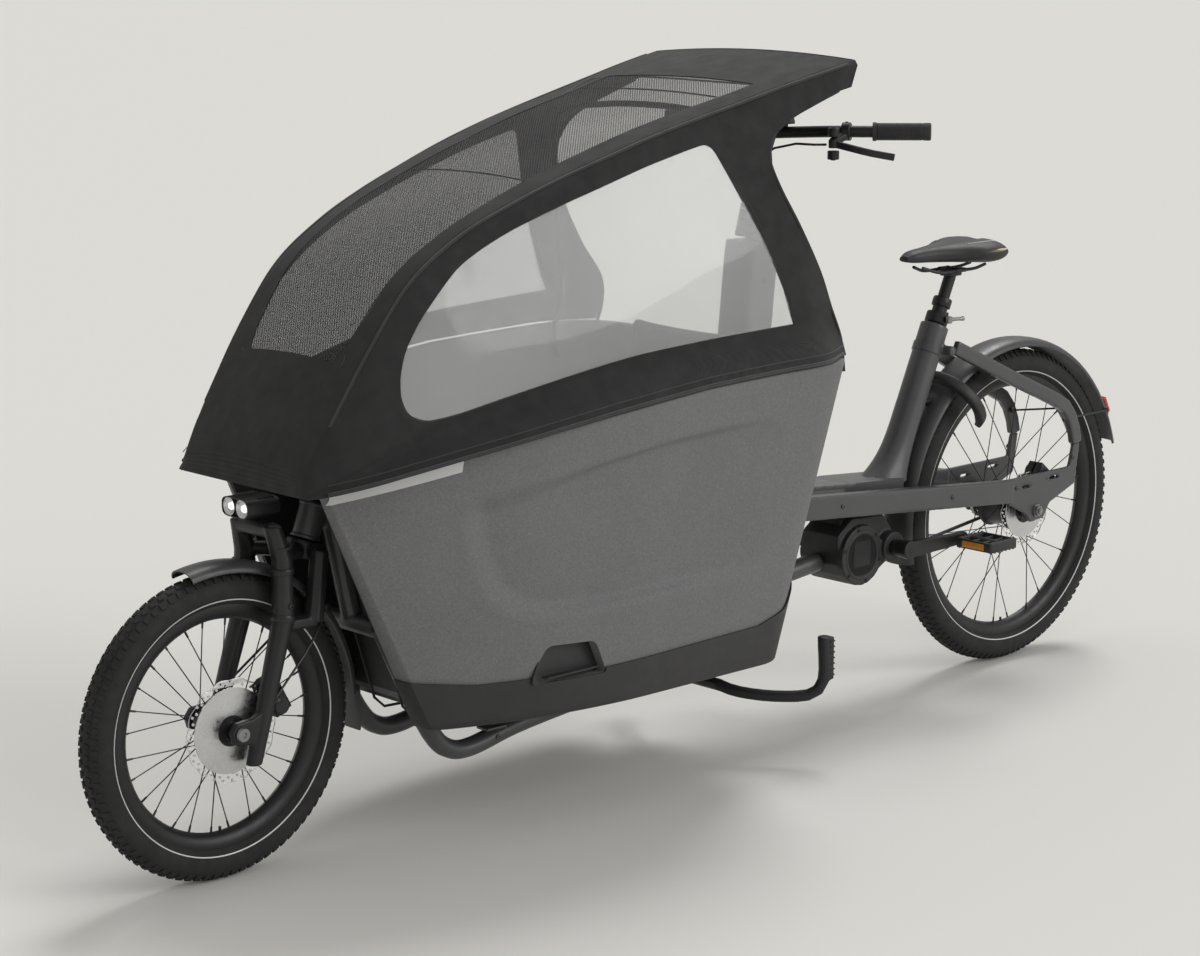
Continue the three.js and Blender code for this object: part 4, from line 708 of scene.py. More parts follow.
# ---------------------------------------------------------------- box and canopy shapes
RIM_LINE = [(700, 800), (900, 798), (1000, 797), (1100, 795), (1200, 792), (1300, 788), (1400, 778),
            (1500, 765), (1600, 748), (1700, 729), (1800, 709), (1880, 692), (1930, 681), (1985, 668),
            (2014, 662), (2200, 640)]
BASE_LINE = [(2200, 345), (1850, 322), (1690, 302), (1440, 300), (1070, 309), (1000, 330), (960, 366),
             (900, 420), (700, 450)]
RECESS_OUTLINE = [(1759, 641), (1371, 704), (1090, 716), (1060, 500), (1085, 420), (1347, 414), (1577, 404),
                  (1640, 412), (1690, 450), (1735, 530)]
HANDLE_NOTCH = [(1440, 290), (1474, 354), (1570, 357), (1598, 290)]
CANOPY_STATIONS = [
    (804, 264, 1325, 322), (900, 260, 1304, 333), (1000, 251, 1281, 379), (1100, 245, 1257, 381),
    (1200, 237, 1233, 381), (1300, 229, 1207, 381), (1400, 221, 1177, 376), (1500, 208, 1144, 364),
    (1600, 198, 1107, 345), (1700, 187, 1062, 320), (1800, 182, 994, 288), (1880, 178, 896, 260),
    (1930, 174, 822, 240), (1985, 168, 736, 205), (2014, 160, 682, 178)]
FLANK = [(0, 0), (0.28, 0.29), (0.55, 0.52), (0.76, 0.61), (0.87, 0.62), (1, 1)]
REAR_EDGE = [(806, 1318), (826, 1279), (857, 1273), (918, 1253), (980, 1231), (1025, 1206), (1046, 1175),
             (1050, 1150), (1036, 1104), (1006, 1042), (956, 958), (912, 887), (897, 828), (905, 770)]
SIDE_WINDOW = [(1038, 868), (1217, 862), (1325, 857), (1425, 849), (1561, 826), (1687, 800), (1766, 782),
               (1818, 776), (1848, 788), (1856, 815), (1850, 850), (1834, 889), (1804, 933), (1764, 973),
               (1714, 1017), (1659, 1047), (1605, 1071), (1514, 1103), (1420, 1132), (1320, 1162),
               (1228, 1185), (1179, 1195), (1135, 1094), (1065, 939)]
TOP_WINDOW = [(1000, 190), (1142, 178), (1353, 165), (1518, 156), (1668, 150), (1802, 138), (1883, 126),
              (1908, 114)]
BOX_FLOOR = 225
BOX_RIM = 800
BOX_WALL = 20
BOX_FOLD = 12
TUB_FOOT = 232
RIM_ROUND = 5
BASE_PROUD = 4
POCKET_BACK = 250
NOTCH_HALF_WIDTH = 128
NOTCH_TOP = (1812, 760)
NOTCH_FOOT = (1680, 205)
CUT = 600  # past the widest flank, for blocks that only cut
ROOF_CROWN = 12
CANOPY_REAR, CANOPY_FRONT = 806, 2013
FLANK_SHARE = 0.64  # how much of the canopy sheet's span hangs as its flank
HEM_GAP = 0.6


def rim_at(x):
    return along(RIM_LINE, x)[0]


def box_plan(z, inset=0.0):
    """Half of the box's outline at a height, from the middle of its back to the middle of its front."""
    t = (z - BOX_FLOOR) / (BOX_RIM - BOX_FLOOR)
    rear = lerp(967, 886, t) + inset
    front = 1952 + 0.457 * (min(z, BOX_RIM) - 650) - inset
    wide = lerp(262, 379, t) - inset
    front_half = 148 - 0.059 * (z - 650) - inset
    corner = lerp(70, 105, t) - inset / 2
    taper = lerp(1330, 1350, t)
    points = [(rear, wide * k / 6 - corner * k / 6) for k in range(6)]
    points += [(rear + corner * (1 - cos(a)), wide - corner * (1 - sin(a)))
               for a in (pi / 2 * i / 10 for i in range(11))]
    points += [(lerp(rear + corner, taper, k / 16), wide) for k in range(1, 16)]
    reach = front - BOX_FOLD - taper
    hull = ((taper, wide), (taper + 0.36 * reach, wide), (taper + 0.76 * reach, lerp(front_half, wide, 0.57)),
            (front - BOX_FOLD, front_half))
    for i in range(31):
        s = i / 30
        weights = ((1 - s) ** 3, 3 * s * (1 - s) ** 2, 3 * s * s * (1 - s), s ** 3)
        points.append(tuple(sum(w * p[k] for w, p in zip(weights, hull)) for k in (0, 1)))
    points += [(front - 5, front_half - 4), (front, front_half - 16)]
    points += [(front, (front_half - 16) * (1 - k / 4)) for k in range(1, 5)]
    return points


def inside_distance(outline, x, z):
    """How far a point lies inside a closed outline: below nothing where it is outside."""
    nearest, inside = 1e9, False
    for (x0, z0), (x1, z1) in zip(outline, outline[1:] + outline[:1]):
        dx, dz = x1 - x0, z1 - z0
        t = min(1.0, max(0.0, ((x - x0) * dx + (z - z0) * dz) / (dx * dx + dz * dz)))
        nearest = min(nearest, hypot(x - x0 - dx * t, z - z0 - dz * t))
        if (z0 > z) != (z1 > z) and x < x0 + (z - z0) * dx / dz:
            inside = not inside
    return nearest if inside else -nearest


def rounded(outline, steps=5):
    """An outline drawn as one smooth closed curve."""
    return [(p.x, p.y) for p in smooth_path([(x, z, 0) for x, z in outline], steps, closed=True)]


def eased_corners(outline, radius, steps=6):
    """An outline with straight sides and rounded corners."""
    out = []
    for i, point in enumerate(outline):
        corner, before, after = (Vector(p) for p in (point, outline[i - 1], outline[(i + 1) % len(outline)]))
        reach = min(radius, (before - corner).length * 0.45, (after - corner).length * 0.45)
        a, b = (corner + (p - corner).normalized() * reach for p in (before, after))
        for k in range(steps + 1):
            t = k / steps
            q = a * (1 - t) ** 2 + corner * 2 * t * (1 - t) + b * t * t
            out.append((q.x, q.y))
    return out


def canopy_point(u, v):
    """A point of the canopy: u runs forward, and v from the left hem over the roof to the right."""
    x = lerp(CANOPY_REAR, CANOPY_FRONT, u)
    seam_y, seam_z, hem_y = eased(CANOPY_STATIONS, x)
    hem_z = rim_at(x) + HEM_GAP
    way = 1 if v < 0.5 else -1
    share = v * 2 if v < 0.5 else 2 - v * 2
    if share < FLANK_SHARE:
        down = 1 - share / FLANK_SHARE
        out = eased(FLANK, down)[0]
        y, z = lerp(seam_y, hem_y, out), lerp(seam_z, hem_z, down)
    else:
        across = 1 - (share - FLANK_SHARE) / (1 - FLANK_SHARE)
        y, z = seam_y * across, seam_z + ROOF_CROWN * (1 - across * across)
    if x > CANOPY_FRONT - 0.5:
        z = hem_z
    return at(x, way * y, z)


def outline_block(outline, y0, y1):
    return made(prism, outline, y0, y1)


def plan_block(outline, z0, z1):
    bm = bmesh.new()
    loft(bm, [[at(x, y, z) for x, y in outline] for z in (z0, z1)])
    return bm


def grown(outline, by):
    """An outline moved out from its middle by a distance."""
    middle = [sum(p[k] for p in outline) / len(outline) for k in (0, 1)]
    return [tuple(c + (c - m) * by / hypot(x - middle[0], z - middle[1]) for c, m in zip((x, z), middle))
            for x, z in outline]


def on_canopy(x, height, side):
    """A place on the canopy's flank at a station and a height, found from its sides' flare."""
    seam_y, seam_z, hem_y = eased(CANOPY_STATIONS, x)
    hem_z = rim_at(x) + HEM_GAP
    down = min(1.0, max(0.0, (seam_z - height) / (seam_z - hem_z)))
    return at(x, side * lerp(seam_y, hem_y, eased(FLANK, down)[0]), height)


def bolt(bm, centre, axis, radius=4.0, height=3.5, socket=True):
    """A round-headed socket screw."""
    centre, axis = Vector(centre), Vector(axis).normalized()
    profile = [(0, 0), (radius, 0), (radius, height * 0.65), (radius * 0.86, height), (radius * 0.5, height)]
    if socket:
        profile += [(radius * 0.45, height * 0.5)]
    profile += [(0, height * 0.5 if socket else height)]
    lathe(bm, profile, centre, axis, steps=14)


# ---------------------------------------------------------------- rear frame
def arc_point(radius, degrees, y, x, z):
    a = radians(degrees)
    return at(x + radius * cos(a), y, z + radius * sin(a))


def seat_at(z):
    return at(247 + (756 - z) * 147 / 319, 0, z)


def beam_z(x):
    return lerp(395, 466, (x - 96) / (905 - 96))


def build_rear_frame():
    for side, word in ((1, "left"), (-1, "right")):
        outer = side * DROPOUT_Y

        def dropout_details(bm):
            for x, z in ((-58, 405), (38, 397)):
                slot_edge = [(20 * cos(a) + (7 if cos(a) > 0 else -7), 6.5 * sin(a)) for a in
                             (2 * pi * i / 24 for i in range(24))]
                hole = [(p * 0.72, q * 0.6) for p, q in slot_edge]
                plate(bm, [slot_edge, hole], 11, side_on(x, outer, z), 0.8)
            for x, z in ((-122, 440), (70, 398), (300, beam_z(300)), (640, beam_z(640))):
                y = side * 88.6 if x < 90 else side * 103
                bolt(bm, at(x, y, z), (0, side, 0), 5, 2.5)

        cast(f"chain_stay_{word}_casting", f"chain_stay_{word}", "paint", voxel=2.6, rounds=6,
             extra=dropout_details)
        cast(f"seat_stay_{word}_tube", f"seat_stay_{word}", "paint", voxel=2.2, rounds=9)

    def tube_details(bm):
        foot, top = seat_at(700), seat_at(716)
        rod(bm, foot, top, 32, 32, 40)
        for x, y in ((600, 26), (700, 26), (800, 26)):
            bolt(bm, at(x, y, beam_z(x) + 24), (0, 1, 0), 5, 2.5)

    cast("seat_tube_casting", "seat_tube", "paint", voxel=2.8, rounds=7, extra=tube_details, shape=flare_foot)

    bm = bmesh.new()
    lathe(bm, [(0, -102), (6, -102), (7, -100), (7, 100), (6, 102), (0, 102)], at(0, 0, REAR_RADIUS),
          steps=32)
    for side in (1, -1):
        lathe(bm, [(7, side * 89.5), (15, side * 89.5), (15, side * 91), (12, side * 91.5), (12, side * 97),
                   (11, side * 98), (7, side * 98), (7, side * 89.5)], at(0, 0, REAR_RADIUS), steps=6)
    piece("rear_axle_nuts", bm, "machined", nodes=["rear_axle"])

    bm = bmesh.new()
    mudguard(bm, 0, REAR_RADIUS, 366, 78, -12, 164)
    piece("rear_fender", bm, "fender", nodes=["rear_mudguard"])
    bm = bmesh.new()
    for side in (1, -1):
        start = arc_point(352, 150, side * 39, 0, REAR_RADIUS)
        tube(bm, [start, start + Vector((0.05, side * 0.004, 0)), at(-112, side * 72, 524)], 2.3, 10)
        rod(bm, arc_point(354, 150, side * 36.5, 0, REAR_RADIUS),
            arc_point(354, 150, side * 41, 0, REAR_RADIUS), 6, 5, 16)
        block(bm, (16, 6, 12), at(-114, side * 71, 524), 2)
    rod(bm, arc_point(364, 45, 0, 0, REAR_RADIUS), seat_at(600) + Vector((-0.036, 0, 0)), 9, 8, 24)
    piece("rear_fender_stays", bm, "black_metal")

    place = Matrix.Translation(at(0, 0, REAR_RADIUS)) @ Matrix.Rotation(radians(-62), 4, "Y")
    bm = bmesh.new()
    block(bm, (46, 38, 14), (0, 0, 0.3735), 5, segments=4)
    bmesh.ops.transform(bm, matrix=place, verts=bm.verts)
    piece("tail_lamp_base", bm, "plastic", nodes=["tail_light"])
    bm = bmesh.new()
    block(bm, (42, 34, 12), (0, 0, 0.3835), 5, segments=5)
    for k in range(-3, 4):
        block(bm, (1.2, 30, 1.2), (k * 0.0055, 0, 0.3894), 0.3)
    bmesh.ops.transform(bm, matrix=place, verts=bm.verts)
    piece("tail_lamp_lens", bm, "red_lens")
    build_calliper("rear_calliper", "frame", 1)
    build_lock()


def flare_foot(bm):
    """The seat tube's foot, which widens forward into the spine in one smooth curve."""
    low = beam_z(430) + 33
    bm = carve(bm, outline_block([(300, 600), (300, 480), (384, low), (560, beam_z(560) + 35), (560, 600)],
                                 -120, 120))
    rings = []
    for k in range(17):
        grow = (k / 16) ** 4
        middle = seat_at(lerp(605, low - 8, k / 16))
        ring = []
        for i in range(48):
            a = 2 * pi * i / 48
            reach = 33 + (58 * grow if cos(a) > 0 else 0)
            ring.append(middle + Vector((reach * cos(a), (30 + 14 * grow) * sin(a), 0)) * MM)
        rings.append(ring)
    loft(bm, rings)
    return bm


def build_calliper(node, body, side):
    """A disc brake calliper: rounded body, piston cap and bolts."""
    low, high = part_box(node)
    middle = (low + high) / 2

    def caps(bm):
        y = middle.y + 0.0225
        lathe(bm, [(0, 0), (12, 0), (12, 2.5), (10.5, 3.5), (4, 3.5), (3, 2.2), (0, 2.2)],
              Vector((middle.x, middle.y + 0.0175, middle.z)), (0, 1, 0), steps=32)
        for k in (-1, 1):
            bolt(bm, Vector((middle.x + k * 0.012, y - 0.008, middle.z + k * 0.021)), (0, 1, 0), 4.2, 4)

    cast(f"{node}_body", node, "black_metal", body, voxel=1.2, rounds=6, extra=caps)


def build_lock():
    """A ring lock: a curved arm each side of the tyre, its key barrel, and the bolt."""
    outward = Vector((cos(radians(52)), 0, sin(radians(52))))
    across = Vector((0, 1, 0))
    turn = Matrix((across, outward, across.cross(outward))).transposed().to_4x4()
    place = Matrix.Translation(at(0, 0, REAR_RADIUS) + outward * 0.312) @ turn
    bm = bmesh.new()
    rings = []
    for i in range(49):
        a = radians(lerp(-46, 226, i / 48))
        swell = 1 + 0.25 * exp(-((i - 24) / 7) ** 2)
        size = min(1.0, 0.72 + min(i, 48 - i) * 0.07)
        ring = []
        for b in (2 * pi * k / 24 for k in range(24)):
            s, c = sin(b), cos(b)
            r = 75 + 10.5 * size * abs(c) ** 0.55 * (1 if c > 0 else -1)
            h = 11.5 * size * min(swell, 1.04) * abs(s) ** 0.55 * (1 if s > 0 else -1)
            ring.append(Vector((r * cos(a), r * sin(a), h)) * MM)
        rings.append(ring)
    loft(bm, rings)
    key = bmesh.new()
    lathe(key, [(0, 9), (9, 9), (9, 12), (7.5, 13.2), (6, 13.2), (5.6, 12), (0, 12)], Vector((0, 0.076, 0)),
          (0, 0, 1), steps=32)
    block(key, (2, 7, 3), (0, 0.076, 0.0118), 0.4)
    merge(bm, key)
    bmesh.ops.transform(bm, matrix=place, verts=bm.verts)
    piece("ring_lock_shell", bm, "plastic", nodes=["lock_body"])
    bm = bmesh.new()
    points = [Vector((75 * cos(a), 75 * sin(a), 0)) * MM
              for a in (radians(lerp(-41, 107, i / 24)) for i in range(25))]
    tube(bm, points, 4.5, 16, smooth=False)
    a = radians(108.86)
    rod(bm, Vector((75 * cos(a), 75 * sin(a), 0)) * MM, Vector((95 * cos(a), 95 * sin(a), 0)) * MM, 3.2, 3.2,
        16)
    bmesh.ops.transform(bm, matrix=place, verts=bm.verts)
    piece("ring_lock_bolt", bm, "steel", "lock_pin", ["lock_bar"])


# ---------------------------------------------------------------- seat
SADDLE_REAR = 82
SADDLE_LENGTH = 270
SADDLE_HALF_WIDTH = 86
COLLAR_Z = 759


def build_seat():
    axis = (seat_at(800) - seat_at(700)).normalized()
    bm = bmesh.new()
    rod(bm, seat_at(561), seat_at(801), 15.6, 15.6, 48)
    lathe(bm, [(15, -9), (19.4, -9), (20, -8), (20, 7), (18.5, 9.5), (13, 11), (12, 11)], seat_at(801), axis,
          steps=48)
    rod(bm, seat_at(800), seat_at(858), 12.4, 12.4, 40)
    for k in range(8):
        rod(bm, seat_at(816 + k * 5), seat_at(817 + k * 5), 12.8, 12.8, 32)
    low = seat_at(860)
    block(bm, (38, 30, 10), low, 3, segments=3)
    block(bm, (34, 54, 9), seat_at(868), 3, segments=3)
    for side in (1, -1):
        tube(bm, [at(112, side * 20, 874), at(150, side * 22, 868), at(205, side * 22, 868),
                  at(260, side * 22, 868), at(305, side * 12, 880)], 3.5, 14)
        bolt(bm, seat_at(868) + Vector((0, side * 0.012, 0.0035)), (0, 0, 1), 3.5, 3)
    piece("seatpost_and_rails", bm, "black_metal", "seat", ["seatpost"])

    sections = [(0, 0.46, 908, 893), (0.05, 0.78, 921, 887), (0.17, 1, 930, 880), (0.35, 0.93, 929, 883),
                (0.52, 0.58, 925, 886), (0.72, 0.33, 921, 889), (0.92, 0.23, 915, 892), (1, 0.12, 906, 896)]

    def saddle_ring(share, trim=0.0):
        wide, top, under = eased(sections, share)
        ring = []
        for i in range(40):
            a = 2 * pi * i / 40
            y = SADDLE_HALF_WIDTH * wide * abs(cos(a)) ** 0.7 * (1 if cos(a) > 0 else -1)
            z = (top + under) / 2 + (top - under) / 2 * sin(a)
            groove = 5.5 * exp(-(y / 9) ** 2) * smoothstep(0.03, 0.16,
                                                           share) * (1 - smoothstep(0.6, 0.85, share))
            skirt = 7 * smoothstep(0.5, 1.0, abs(y) / (SADDLE_HALF_WIDTH * wide + 1e-6))
            if sin(a) > 0:
                z -= groove + skirt * 0.25 * (1 - share)
            ring.append(at(SADDLE_REAR + share * SADDLE_LENGTH, y, min(z, 929.6)))
        return ring

    bm = bmesh.new()
    shares = [0, 0.012, 0.03] + [0.03 + 0.94 * k / 44 for k in range(1, 45)] + [0.985, 1]
    loft(bm, [saddle_ring(s) for s in shares])
    cover = piece("saddle_cover_pad", bm, "saddle_cover", "seat", ["saddle"], sharp=80)
    bm = bmesh.new()
    for side in (1, -1):
        seam = []
        for share in (0.16, 0.25, 0.34, 0.43):
            wide, top, under = eased(sections, share)
            seam.append(at(SADDLE_REAR + share * SADDLE_LENGTH, side * SADDLE_HALF_WIDTH * wide * 0.62,
                           lerp(top, under, 0.08) + 0.8))
        tube(bm, seam, 0.9, 8, 4)
    piece("saddle_stitching", bm, "flash_white", "seat")
    flashes = (("saddle_gold_flash", "flash_gold", 0.16, 0.0),
               ("saddle_white_flash", "flash_white", 0.1, 3.0))
    for name, look, start, shift in flashes:
        bm = bmesh.new()
        for side in (1, -1):
            points = []
            for share in (start, start + 0.06, start + 0.12, start + 0.17):
                wide, top, under = eased(sections, share)
                points.append(at(SADDLE_REAR + share * SADDLE_LENGTH,
                                 side * (SADDLE_HALF_WIDTH * wide * 0.98 - 0.5),
                                 lerp(under, top, 0.58) + shift))
            tube(bm, points, 1.9, 8, 4, radii=[0.4, 1, 1, 0.2])
        piece(name, bm, look, "seat")

    bm = bmesh.new()
    lathe(bm, [(16.6, 0), (23.4, 0), (24, 1), (24, 20), (22.5, 22), (16.6, 22), (16.6, 0)], seat_at(COLLAR_Z),
          axis, steps=48)
    block(bm, (14, 10, 20), seat_at(COLLAR_Z + 10) + Vector((-0.026, 0, 0)), 2)
    piece("seat_collar", bm, "black_metal", nodes=["seat_clamp"])
    bm = bmesh.new()
    pivot = seat_at(COLLAR_Z + 10) + Vector((0, 0.032, 0))
    rod(bm, pivot - Vector((0, 0, 0.007)), pivot + Vector((0, 0, 0.007)), 7, 7, 24)
    tube(bm, [pivot, pivot + Vector((-0.016, 0.001, 0)), pivot + Vector((-0.032, 0.0015, -0.0005)),
              pivot + Vector((-0.045, 0.001, -0.001))], 5.0, 14, radii=[1.1, 0.8, 0.75, 1.0])
    piece("seat_collar_lever", bm, "machined", "clamp_lever", ["seat_lever"])


# ---------------------------------------------------------------- drive
MOTOR_X, MOTOR_Z = 536, 321
MOTOR_SIDES = ((66, 1), (-50, -1))
CRANK_LENGTH = 170
CRANK_Y = 113
PEDAL_Y = 178
CHAINRING_RADIUS = 76
COG_RADIUS = 36


def toothed(radius, depth, teeth):
    """The outline of a belt pulley with square teeth."""
    points = []
    for k in range(teeth * 4):
        a = 2 * pi * k / (teeth * 4)
        r = radius - (0 if k % 4 < 2 else depth)
        points.append((r * cos(a), r * sin(a)))
    return points


def build_drive():
    def cover_details(bm):
        for y, way in MOTOR_SIDES:
            lathe(bm, [(0, 0), (44, 0), (46, 1.2), (49, 1.2), (50, 0)], at(MOTOR_X, y, MOTOR_Z), (0, way, 0),
                  steps=64)
            for k in range(6):
                a = 2 * pi * k / 6 + 0.3
                bolt(bm, at(MOTOR_X + 55 * cos(a), y - way * 0.5, MOTOR_Z + 55 * sin(a)), (0, way, 0), 3.6,
                     2.6)
        for k in range(5):
            block(bm, (70, 60, 2), at(540, 8, 385.5 + k * 2.4), 0.6)

    cast("motor_cover", "motor_housing", "plastic", voxel=2.0, rounds=8, extra=cover_details)
    cast("crank_arm_left", "crank_left", "black_metal", "crank", voxel=1.6, rounds=8,
         extra=lambda bm: bolt(bm, at(CRANK_X, 118, CRANK_Z), (0, 1, 0), 8, 2))

    bm = bmesh.new()
    outline = [(-19, 0), (0, 18), (90, 14.5), (CRANK_LENGTH, 13.5), (CRANK_LENGTH + 13.5, 0),
               (CRANK_LENGTH, -13.5), (90, -14.5), (0, -18)]
    eye = circle(7.6, 24, (CRANK_LENGTH, 0))
    plate(bm, [rounded(outline, 8), eye], 14, side_on(CRANK_X, -CRANK_Y, CRANK_Z), 3)
    bmesh.ops.remove_doubles(bm, verts=bm.verts, dist=1e-6)
    lathe(bm, [(12.4, -106), (20, -106), (20, -68), (12.4, -68), (12.4, -106)], at(CRANK_X, 0, CRANK_Z),
          steps=40)
    bolt(bm, at(CRANK_X, -119.5, CRANK_Z), (0, -1, 0), 10, 2.5)
    holes = [circle(12.6, 24)]
    for k in range(5):
        a, gap = 2 * pi * k / 5 + 0.3, 0.46
        holes.append(arc(62, a - gap, a + gap, 10) + arc(32, a + gap * 0.8, a - gap * 0.8, 8))
    plate(bm, [toothed(CHAINRING_RADIUS, 1.4, 46), *holes], 7.6, side_on(CRANK_X, BELT_Y, CRANK_Z), 0.5)
    piece("crank_arm_right_and_pulley", bm, "black_metal", "crank", ["crank_right"])

    bm = bmesh.new()
    slots = [arc(28, a - 0.3, a + 0.3, 5) + arc(17, a + 0.24, a - 0.24, 4)
             for a in (2 * pi * k / 6 for k in range(6))]
    plate(bm, [toothed(COG_RADIUS, 1.2, 22), circle(7.6, 20), *slots], 9.6, side_on(0, BELT_Y, REAR_RADIUS),
          0.5)
    piece("rear_pulley", bm, "machined", "sprocket", ["rear_cog"])

    reach = hypot(CRANK_X, CRANK_Z - REAR_RADIUS)
    base = atan2(REAR_RADIUS - CRANK_Z, -CRANK_X)
    taper = CHAINRING_RADIUS - COG_RADIUS
    spread = pi / 2 - atan2(taper, (reach * reach - taper * taper) ** 0.5)

    def loop(extra):
        return (arc(CHAINRING_RADIUS + extra, base + spread, base + 2 * pi - spread, 60, (CRANK_X, CRANK_Z))
                + arc(COG_RADIUS + extra, base - spread, base + spread, 36, (0, REAR_RADIUS)))

    bm = bmesh.new()
    plate(bm, [loop(4.4), loop(1.3)], 11.6, side_on(0, BELT_Y, 0), 0.5)
    piece("toothed_belt", bm, "rubber", nodes=["drive_belt"])

    for side, way, word in ((1, -1, "left"), (-1, 1, "right")):
        x, y = CRANK_X + way * CRANK_LENGTH, side * PEDAL_Y
        bm = bmesh.new()
        for k in (-1, 1):
            block(bm, (7, 88, 20), at(x + k * 40, y, CRANK_Z), 2.5, segments=3)
            block(bm, (84, 9, 22), at(x, y + k * 41, CRANK_Z), 3, segments=3)
            block(bm, (84, 5, 14), at(x, y + k * 13, CRANK_Z), 1.5)
            for j in range(-3, 4):
                rod(bm, at(x + j * 12, y + k * 41, CRANK_Z - 12.6),
                    at(x + j * 12, y + k * 41, CRANK_Z + 12.6), 1.9, sides=8)
        rod(bm, at(x, side * 106, CRANK_Z), at(x, side * 222, CRANK_Z), 7, 7, 28)
        rod(bm, at(x, side * 132, CRANK_Z), at(x, side * 222, CRANK_Z), 10, 9, 28)
        piece(f"{word}_pedal_cage", bm, "plastic", f"{word}_pedal", [f"pedal_{word}"])
        bm = bmesh.new()
        for k in (-1, 1):
            block(bm, (3.4, 56, 13), at(x + k * 43.6, y, CRANK_Z), 1.2)
            for j in range(-4, 5):
                block(bm, (0.9, 1.4, 10.5), at(x + k * 45.3, y + j * 6, CRANK_Z), 0.2)
        piece(f"{word}_pedal_reflectors", bm, "amber", f"{word}_pedal")


# ---------------------------------------------------------------- steering head and fork
def head_at(z):
    """The steering axis, 20 degrees from upright, at a height."""
    return at(1871 + (596 - z) * tan(radians(20)), 0, z)


def build_head():
    axis = (head_at(600) - head_at(500)).normalized()

    def head_details(bm):
        lathe(bm, [(14.8, 0), (24, 0), (25.6, 1), (25.6, 5), (24, 6.5), (14.8, 6.5)], head_at(553), axis,
              steps=40)
        lathe(bm, [(14.8, 0), (24, 0), (25.4, 1), (25.4, 5), (24, 6), (14.8, 6)], head_at(606), axis,
              steps=40)

    cast("head_tube_casting", "head_tube", "paint", voxel=1.9, rounds=8, extra=head_details)

    def fork_details(bm):
        for side in (1, -1):
            for z in (462, 520):
                bolt(bm, at(1974, side * (73 if z < 500 else 71), z), (0, side, 0), 5, 3)
            lathe(bm, [(13, -5), (19.6, -5), (20.4, -3.5), (20.4, 3.5), (19.6, 5), (13, 5)],
                  at(1976, side * 53.5, 520), (0.02, 0, 1), steps=32)
            lathe(bm, [(13, -6), (19.6, -6), (20.6, -4), (20.6, 4), (19.6, 6), (13, 6)],
                  at(1978, side * 56, 441), (-0.2, 0, 1), steps=32)
            lathe(bm, [(13, -1.5), (18.6, -1.5), (18.6, 1.5), (13, 1.5)], at(1975, side * 52.5, 560),
                  (0.1, 0, 1), steps=32)
        lathe(bm, [(15, 0), (33, 0), (34, 1), (34, 3), (32, 4), (31.5, 6), (34, 7.5), (34, 9.5), (32, 11),
                   (15, 11)],
              head_at(616), axis, steps=48)

    cast("fork_casting", "fork", "black_metal", "fork_assembly", voxel=1.9, rounds=7, extra=fork_details)

    bm = bmesh.new()
    rod(bm, at(WHEELBASE, -75, FRONT_RADIUS), at(WHEELBASE, 75, FRONT_RADIUS), 6.8, sides=28)
    for side in (1, -1):
        lathe(bm, [(6, 72), (12.5, 72), (12.8, 74), (11, 78), (5, 78), (4, 76), (0, 76)],
              at(WHEELBASE, 0, FRONT_RADIUS), (0, side, 0), steps=6 if side < 0 else 28)
    piece("front_axle_bolt", bm, "machined", "fork_assembly", ["front_axle"])

    bm = bmesh.new()
    mudguard(bm, WHEELBASE, FRONT_RADIUS, 281, 62, 77, 178)
    flap = bmesh.new()
    loft(flap, [[at(lerp(1797, 1792, t) - 1.2, -half, z), at(lerp(1797, 1792, t) + 1.2, -half, z),
                 at(lerp(1797, 1792, t) + 1.2, half, z), at(lerp(1797, 1792, t) - 1.2, half, z)]
                for t, half, z in ((0, 27, 284), (0.4, 27, 250), (0.8, 25, 215), (1, 20, 201))])
    merge(bm, flap)
    piece("front_fender", bm, "fender", "fork_assembly", ["front_mudguard"])
    bm = bmesh.new()
    for side in (1, -1):
        tube(bm, [arc_point(270, 140, side * 31, WHEELBASE, FRONT_RADIUS),
                  arc_point(200, 143, side * 50, WHEELBASE, FRONT_RADIUS), at(2030, side * 72, 290)], 2.2, 10)
        block(bm, (12, 10, 10), arc_point(272, 140, side * 31, WHEELBASE, FRONT_RADIUS), 2)
    piece("front_fender_stays", bm, "black_metal", "fork_assembly")
    build_calliper("front_calliper", "fork_assembly", 1)
    build_lamp()


